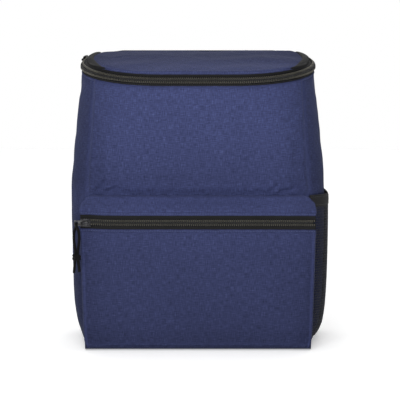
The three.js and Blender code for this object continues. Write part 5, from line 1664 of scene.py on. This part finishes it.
def harness():
    # yoke: two layers of cloth with a bound edge, sewn to the back
    nu, nv = 90, 24
    P = np.zeros((nu, nv, 3))
    xs, zs = np.linspace(-98, 98, nu), np.linspace(294.5, 337, nv)
    P[..., 0], P[..., 2] = xs[:, None], zs[None]
    e = np.minimum(np.minimum(P[..., 0] + 98, 98 - P[..., 0]), np.minimum(P[..., 2] - 294.5, 337 - P[..., 2]))
    P[..., 1] = YB + 2.0 - 0.7 * np.exp(-(e / 1.6) ** 2) - 0.35 * np.exp(-((e - 4.4) / 0.7) ** 2) + 0.12 * ripple(P[..., 0], P[..., 2], 121, 7, 18, 50) * smooth(clamp(e / 8))
    P[..., 1] = np.minimum(P[..., 1], YB + 2.15)
    shell("yoke_cloth", P, 1.6, (0, 1, 0), "black_cloth", "root", ["strap_yoke"])
    line = lambda pts, n: spline(pts, n)
    rect = np.concatenate([line([(-94, YB + 1.75, 298.5), (94, YB + 1.75, 298.5)], 60), line([(94, YB + 1.75, 298.5), (94, YB + 1.75, 333)], 20), line([(94, YB + 1.75, 333), (-94, YB + 1.75, 333)], 60), line([(-94, YB + 1.75, 333), (-94, YB + 1.75, 298.5)], 20)])
    Tn = np.gradient(rect, axis=0)
    Tn /= np.maximum(np.linalg.norm(Tn, axis=1, keepdims=True), 1e-6)
    Oo = np.repeat([[0, 1.0, 0]], len(rect), 0)
    stitches("yoke_stitch", rect, Oo, np.cross(Oo, Tn), 3.2, 2.2, 0.5, 0.5, "black_thread", "root")
    for name, s in (("left", -1), ("right", 1)):
        # shoulder pad: foam between spacer mesh and cloth, thicker in the middle, with a bound edge
        line_ = np.array([[58, 83, 293.5, 26], [61, 88, 270, 29], [66, 92, 240, 30], [74, 93, 205, 30], [84, 90, 170, 28], [93, 84, 140, 24], [98, 81.5, 120, 20]], float)
        C = spline(line_, 120)
        k = np.linspace(-1, 1, 41)
        q = np.linspace(0, 1, 120)
        endf = smooth(clamp(q / 0.03)) * smooth(clamp((1 - q) / 0.03))
        sec = (1 - np.abs(k) ** 3.2)
        top, bot = np.zeros((120, 41, 3)), np.zeros((120, 41, 3))
        for A, sg in ((top, 1), (bot, -1)):
            A[..., 0] = s * (C[:, None, 0] + k[None] * (C[:, None, 3] - 0.6))
            A[..., 2] = C[:, None, 2] + 0.0 * k[None]
            th = (1.2 + 4.0 * sec[None] * endf[:, None]) if sg > 0 else (1.0 + 3.4 * sec[None] * endf[:, None])
            th = th + 0.25 * ripple(A[..., 0], A[..., 2], 131 + s, 8, 22, 60) * sec[None] * endf[:, None]
            # quilting lines across the pad
            for zq in (265, 236, 207, 178, 150):
                th = th - 0.9 * np.exp(-((A[..., 2] - zq) / 1.5) ** 2) * sec[None]
            A[..., 1] = C[:, None, 1] + sg * th
        n1, n2 = 120, 41
        V = np.concatenate([top.reshape(-1, 3), bot.reshape(-1, 3)])
        F = list(grid_faces(n1, n2)) + list(grid_faces(n1, n2, n1 * n2, True))
        i = lambda a, b, kk=0: kk * n1 * n2 + a * n2 + b
        F += [[i(a, 0), i(a + 1, 0), i(a + 1, 0, 1), i(a, 0, 1)] for a in range(n1 - 1)]
        F += [[i(a, n2 - 1), i(a + 1, n2 - 1), i(a + 1, n2 - 1, 1), i(a, n2 - 1, 1)] for a in range(n1 - 1)]
        F += [[i(0, b), i(0, b + 1), i(0, b + 1, 1), i(0, b, 1)] for b in range(n2 - 1)]
        F += [[i(n1 - 1, b), i(n1 - 1, b + 1), i(n1 - 1, b + 1, 1), i(n1 - 1, b, 1)] for b in range(n2 - 1)]
        uv = np.concatenate([top[..., [0, 2]].reshape(-1, 2), bot[..., [0, 2]].reshape(-1, 2)])
        pad = mesh_object("shoulder_pad_" + name, V, F, "strap_padding", "root", ["strap_pad_" + name], uv)
        fix_normals(pad)
        # binding tape round the pad's edge
        Lf = np.stack([s * (C[:, 0] - C[:, 3] + 0.5), C[:, 1], C[:, 2]], -1)
        Rt = np.stack([s * (C[:, 0] + C[:, 3] - 0.5), C[:, 1], C[:, 2]], -1)
        loop = np.concatenate([Lf, spline([Lf[-1], (Lf[-1] + Rt[-1]) / 2, Rt[-1]], 16)[1:-1], Rt[::-1], spline([Rt[0], (Lf[0] + Rt[0]) / 2, Lf[0]], 16)[1:-1]])
        T = np.roll(loop, -1, 0) - np.roll(loop, 1, 0)
        T /= np.maximum(np.linalg.norm(T, axis=1, keepdims=True), 1e-6)
        Y = np.repeat([[0, 1.0, 0]], len(loop), 0)
        Y = Y - T * (Y * T).sum(1, keepdims=True)
        Y /= np.linalg.norm(Y, axis=1, keepdims=True)
        O = np.cross(T, Y)
        th = np.linspace(0, 2 * math.pi, 13)[:-1]
        sweep("shoulder_binding_" + name, loop, O, Y, [(1.5 * math.cos(a), 1.9 * math.sin(a)) for a in th], "elastic", "root", closed_path=True)
        # ladder lock
        X = s * LOCK_X
        place = Matrix.Translation((X * 0.001, (84 - 1.8) * 0.001, 0.105)) @ Matrix.Rotation(math.radians(90), 4, "X")
        outer = rounded(-17, 17, -13, 13, 3.0)
        outline_solid("ladder_lock_body_" + name, [outer, rounded(-13.3, 13.3, -9.5, -2.2, 1.2)[::-1], rounded(-13.3, 13.3, 1.4, 9.5, 1.2)[::-1]], 3.6, 0.7, 0.0, place, "buckle", "root", ["ladder_lock_" + name])
        # ribs for the thumb on the lower edge
        soft_boxes("ladder_lock_ribs_" + name, [(x - 1.0, x + 1.0, -12.2, -10.2, 1.5, 2.35) for x in (-9, -5.4, -1.8, 1.8, 5.4, 9)], 0.3, place, "buckle", "root")
        ribbon("stub_webbing_" + name, [[LOCK_X, 79.3, 120.5], [LOCK_X, 79.3, 115], [LOCK_X, 80.3, 112.9], [LOCK_X, 82.2, 112.2], [LOCK_X, 84.1, 112.9], [LOCK_X, 85.1, 115], [LOCK_X, 85.1, 120.5]], 12.5, 1.2, s, "webbing", "root", ["strap_stub_" + name], 60)
        ribbon("adjust_webbing_" + name, [[116, 77.5, 29], [108, 77.5, 62], [LOCK_X, 77.5, 98], [LOCK_X, 78.4, 104], [LOCK_X, 79.6, 107.2], [LOCK_X, 82.2, 108.2], [LOCK_X, 84.8, 107.2], [LOCK_X, 85.3, 104.6], [LOCK_X, 84.8, 102], [LOCK_X, 82.2, 101], [LOCK_X, 80.1, 98.4], [LOCK_X, 79.3, 94.4], [LOCK_X, 79.6, 60], [LOCK_X, 79.6, 26]], 12.5, 1.2, s, "webbing", "root", ["strap_webbing_" + name], 220)
        # folded and sewn end
        soft_boxes("webbing_hem_" + name, [(s * LOCK_X - 12.6, s * LOCK_X + 12.6, 78.9, 81.3, 24.6, 33.0)], 0.5, Matrix.Identity(4), "webbing", "root")
        A = np.zeros((40, 20, 3))
        zz = np.linspace(6, 29.5, 20)
        for j, z in enumerate(zz):
            f = (z - 6) / 23.5
            A[:, j, 0] = s * np.linspace(98 + 4 * f, 136 - 6 * f, 40)
            A[:, j, 2] = z
        e = np.minimum(np.minimum(np.arange(40)[:, None], 39 - np.arange(40)[:, None]) * 0.9, np.minimum(zz - 6, 29.5 - zz)[None])
        A[..., 1] = YB + 3.0 - 0.9 * np.exp(-(e / 1.4) ** 2) - 0.3 * np.exp(-((e - 4) / 0.6) ** 2)
        shell("anchor_cloth_" + name, A, 2.2, (0, 1, 0), "black_cloth", "root", ["anchor_tab_" + name])
        box_ = spline([(s * 104, YB + 2.75, 10), (s * 130, YB + 2.75, 10), (s * 126, YB + 2.75, 25.5), (s * 107, YB + 2.75, 25.5), (s * 104, YB + 2.75, 10)], 70)
        Tn = np.gradient(box_, axis=0)
        Tn /= np.maximum(np.linalg.norm(Tn, axis=1, keepdims=True), 1e-6)
        Oo = np.repeat([[0, 1.0, 0]], 70, 0)
        stitches("anchor_stitch_" + name, box_, Oo, np.cross(Oo, Tn), 3.0, 2.0, 0.5, 0.5, "black_thread", "root")
    # haul handle: webbing folded round a cord core, flat at its sewn ends
    path = [(34, 10)] + [(34 * math.cos(a), -24 * math.sin(a)) for a in np.linspace(0, math.pi, 9)] + [(-34, 10)]
    C = spline([(x, YB + 5.3, HANDLE_Z + z) for x, z in path], 110)
    T = np.gradient(C, axis=0)
    T /= np.linalg.norm(T, axis=1, keepdims=True)
    nrm = np.repeat([[0, 1.0, 0]], 110, 0)
    up = np.cross(nrm, T)
    q = np.linspace(0, 1, 110)
    rollf = smooth(clamp((q - 0.06) / 0.1)) * smooth(clamp((0.94 - q) / 0.1))
    th = np.linspace(0, 2 * math.pi, 33)[:-1]
    prof = np.zeros((110, 32, 2))
    for a in range(110):
        k = rollf[a]
        prof[a, :, 0] = (1.3 + 1.7 * k) * np.sign(np.cos(th)) * np.abs(np.cos(th)) ** 0.8 - 1.0 * (1 - k) - 0.0
        prof[a, :, 1] = (5.0 - 0.6 * k) * np.sign(np.sin(th)) * np.abs(np.sin(th)) ** 0.8
    sweep("handle_webbing", C, nrm, up, prof, "webbing", "haul_handle", ["haul_handle"])


harness()

# ------------------------------------------------------------------ stage: floor, world, light
bpy.ops.mesh.primitive_plane_add(size=8, location=(0, 0, -0.0006))
floor = bpy.context.object
floor.name = "floor"
fm = Nodes("floor_look", Roughness=0.9, Specular_IOR_Level=0.1)
fm.b.inputs["Base Color"].default_value = (0.92, 0.92, 0.92, 1)
fm.b.inputs["Emission Color"].default_value = (1, 1, 1, 1)
fm.b.inputs["Emission Strength"].default_value = 0.34
floor.data.materials.append(fm.m)

world = bpy.data.worlds.new("world")
bpy.context.scene.world = world
world.use_nodes = True
wt = world.node_tree
bg = wt.nodes["Background"]
bg.inputs[1].default_value = 1.0
tc = wt.nodes.new("ShaderNodeTexCoord")
sep = wt.nodes.new("ShaderNodeSeparateXYZ")
wt.links.new(tc.outputs["Generated"], sep.inputs[0])
rm = wt.nodes.new("ShaderNodeValToRGB")           # a white sweep behind the bag, a dimmer room at its sides
wt.links.new(sep.outputs[1], rm.inputs[0])
for e, (pos, v) in zip(rm.color_ramp.elements, ((0.80, 0.07), (0.93, 1.0))):
    e.position, e.color = pos, (v, v, v, 1)
wt.links.new(rm.outputs[0], bg.inputs[0])


def area(name, loc, target, size, watts, color=(1, 1, 1)):
    d = bpy.data.lights.new(name, "AREA")
    d.shape = "RECTANGLE"
    d.size, d.size_y = size
    d.energy = watts
    d.color = color
    ob = bpy.data.objects.new(name, d)
    bpy.context.scene.collection.objects.link(ob)
    ob.location = loc
    ob.rotation_euler = (Vector(target) - Vector(loc)).to_track_quat("-Z", "Y").to_euler()
    return ob


area("sky", (0, 2.4, 3.2), (0, 2.2, 0), (4.5, 7.0), 140)
area("key", (-0.18, -1.6, 1.05), (0, 0, 0.26), (1.1, 1.1), 24)
bpy.context.scene.view_settings.view_transform = "Standard"
bpy.context.scene.view_settings.look = "None"
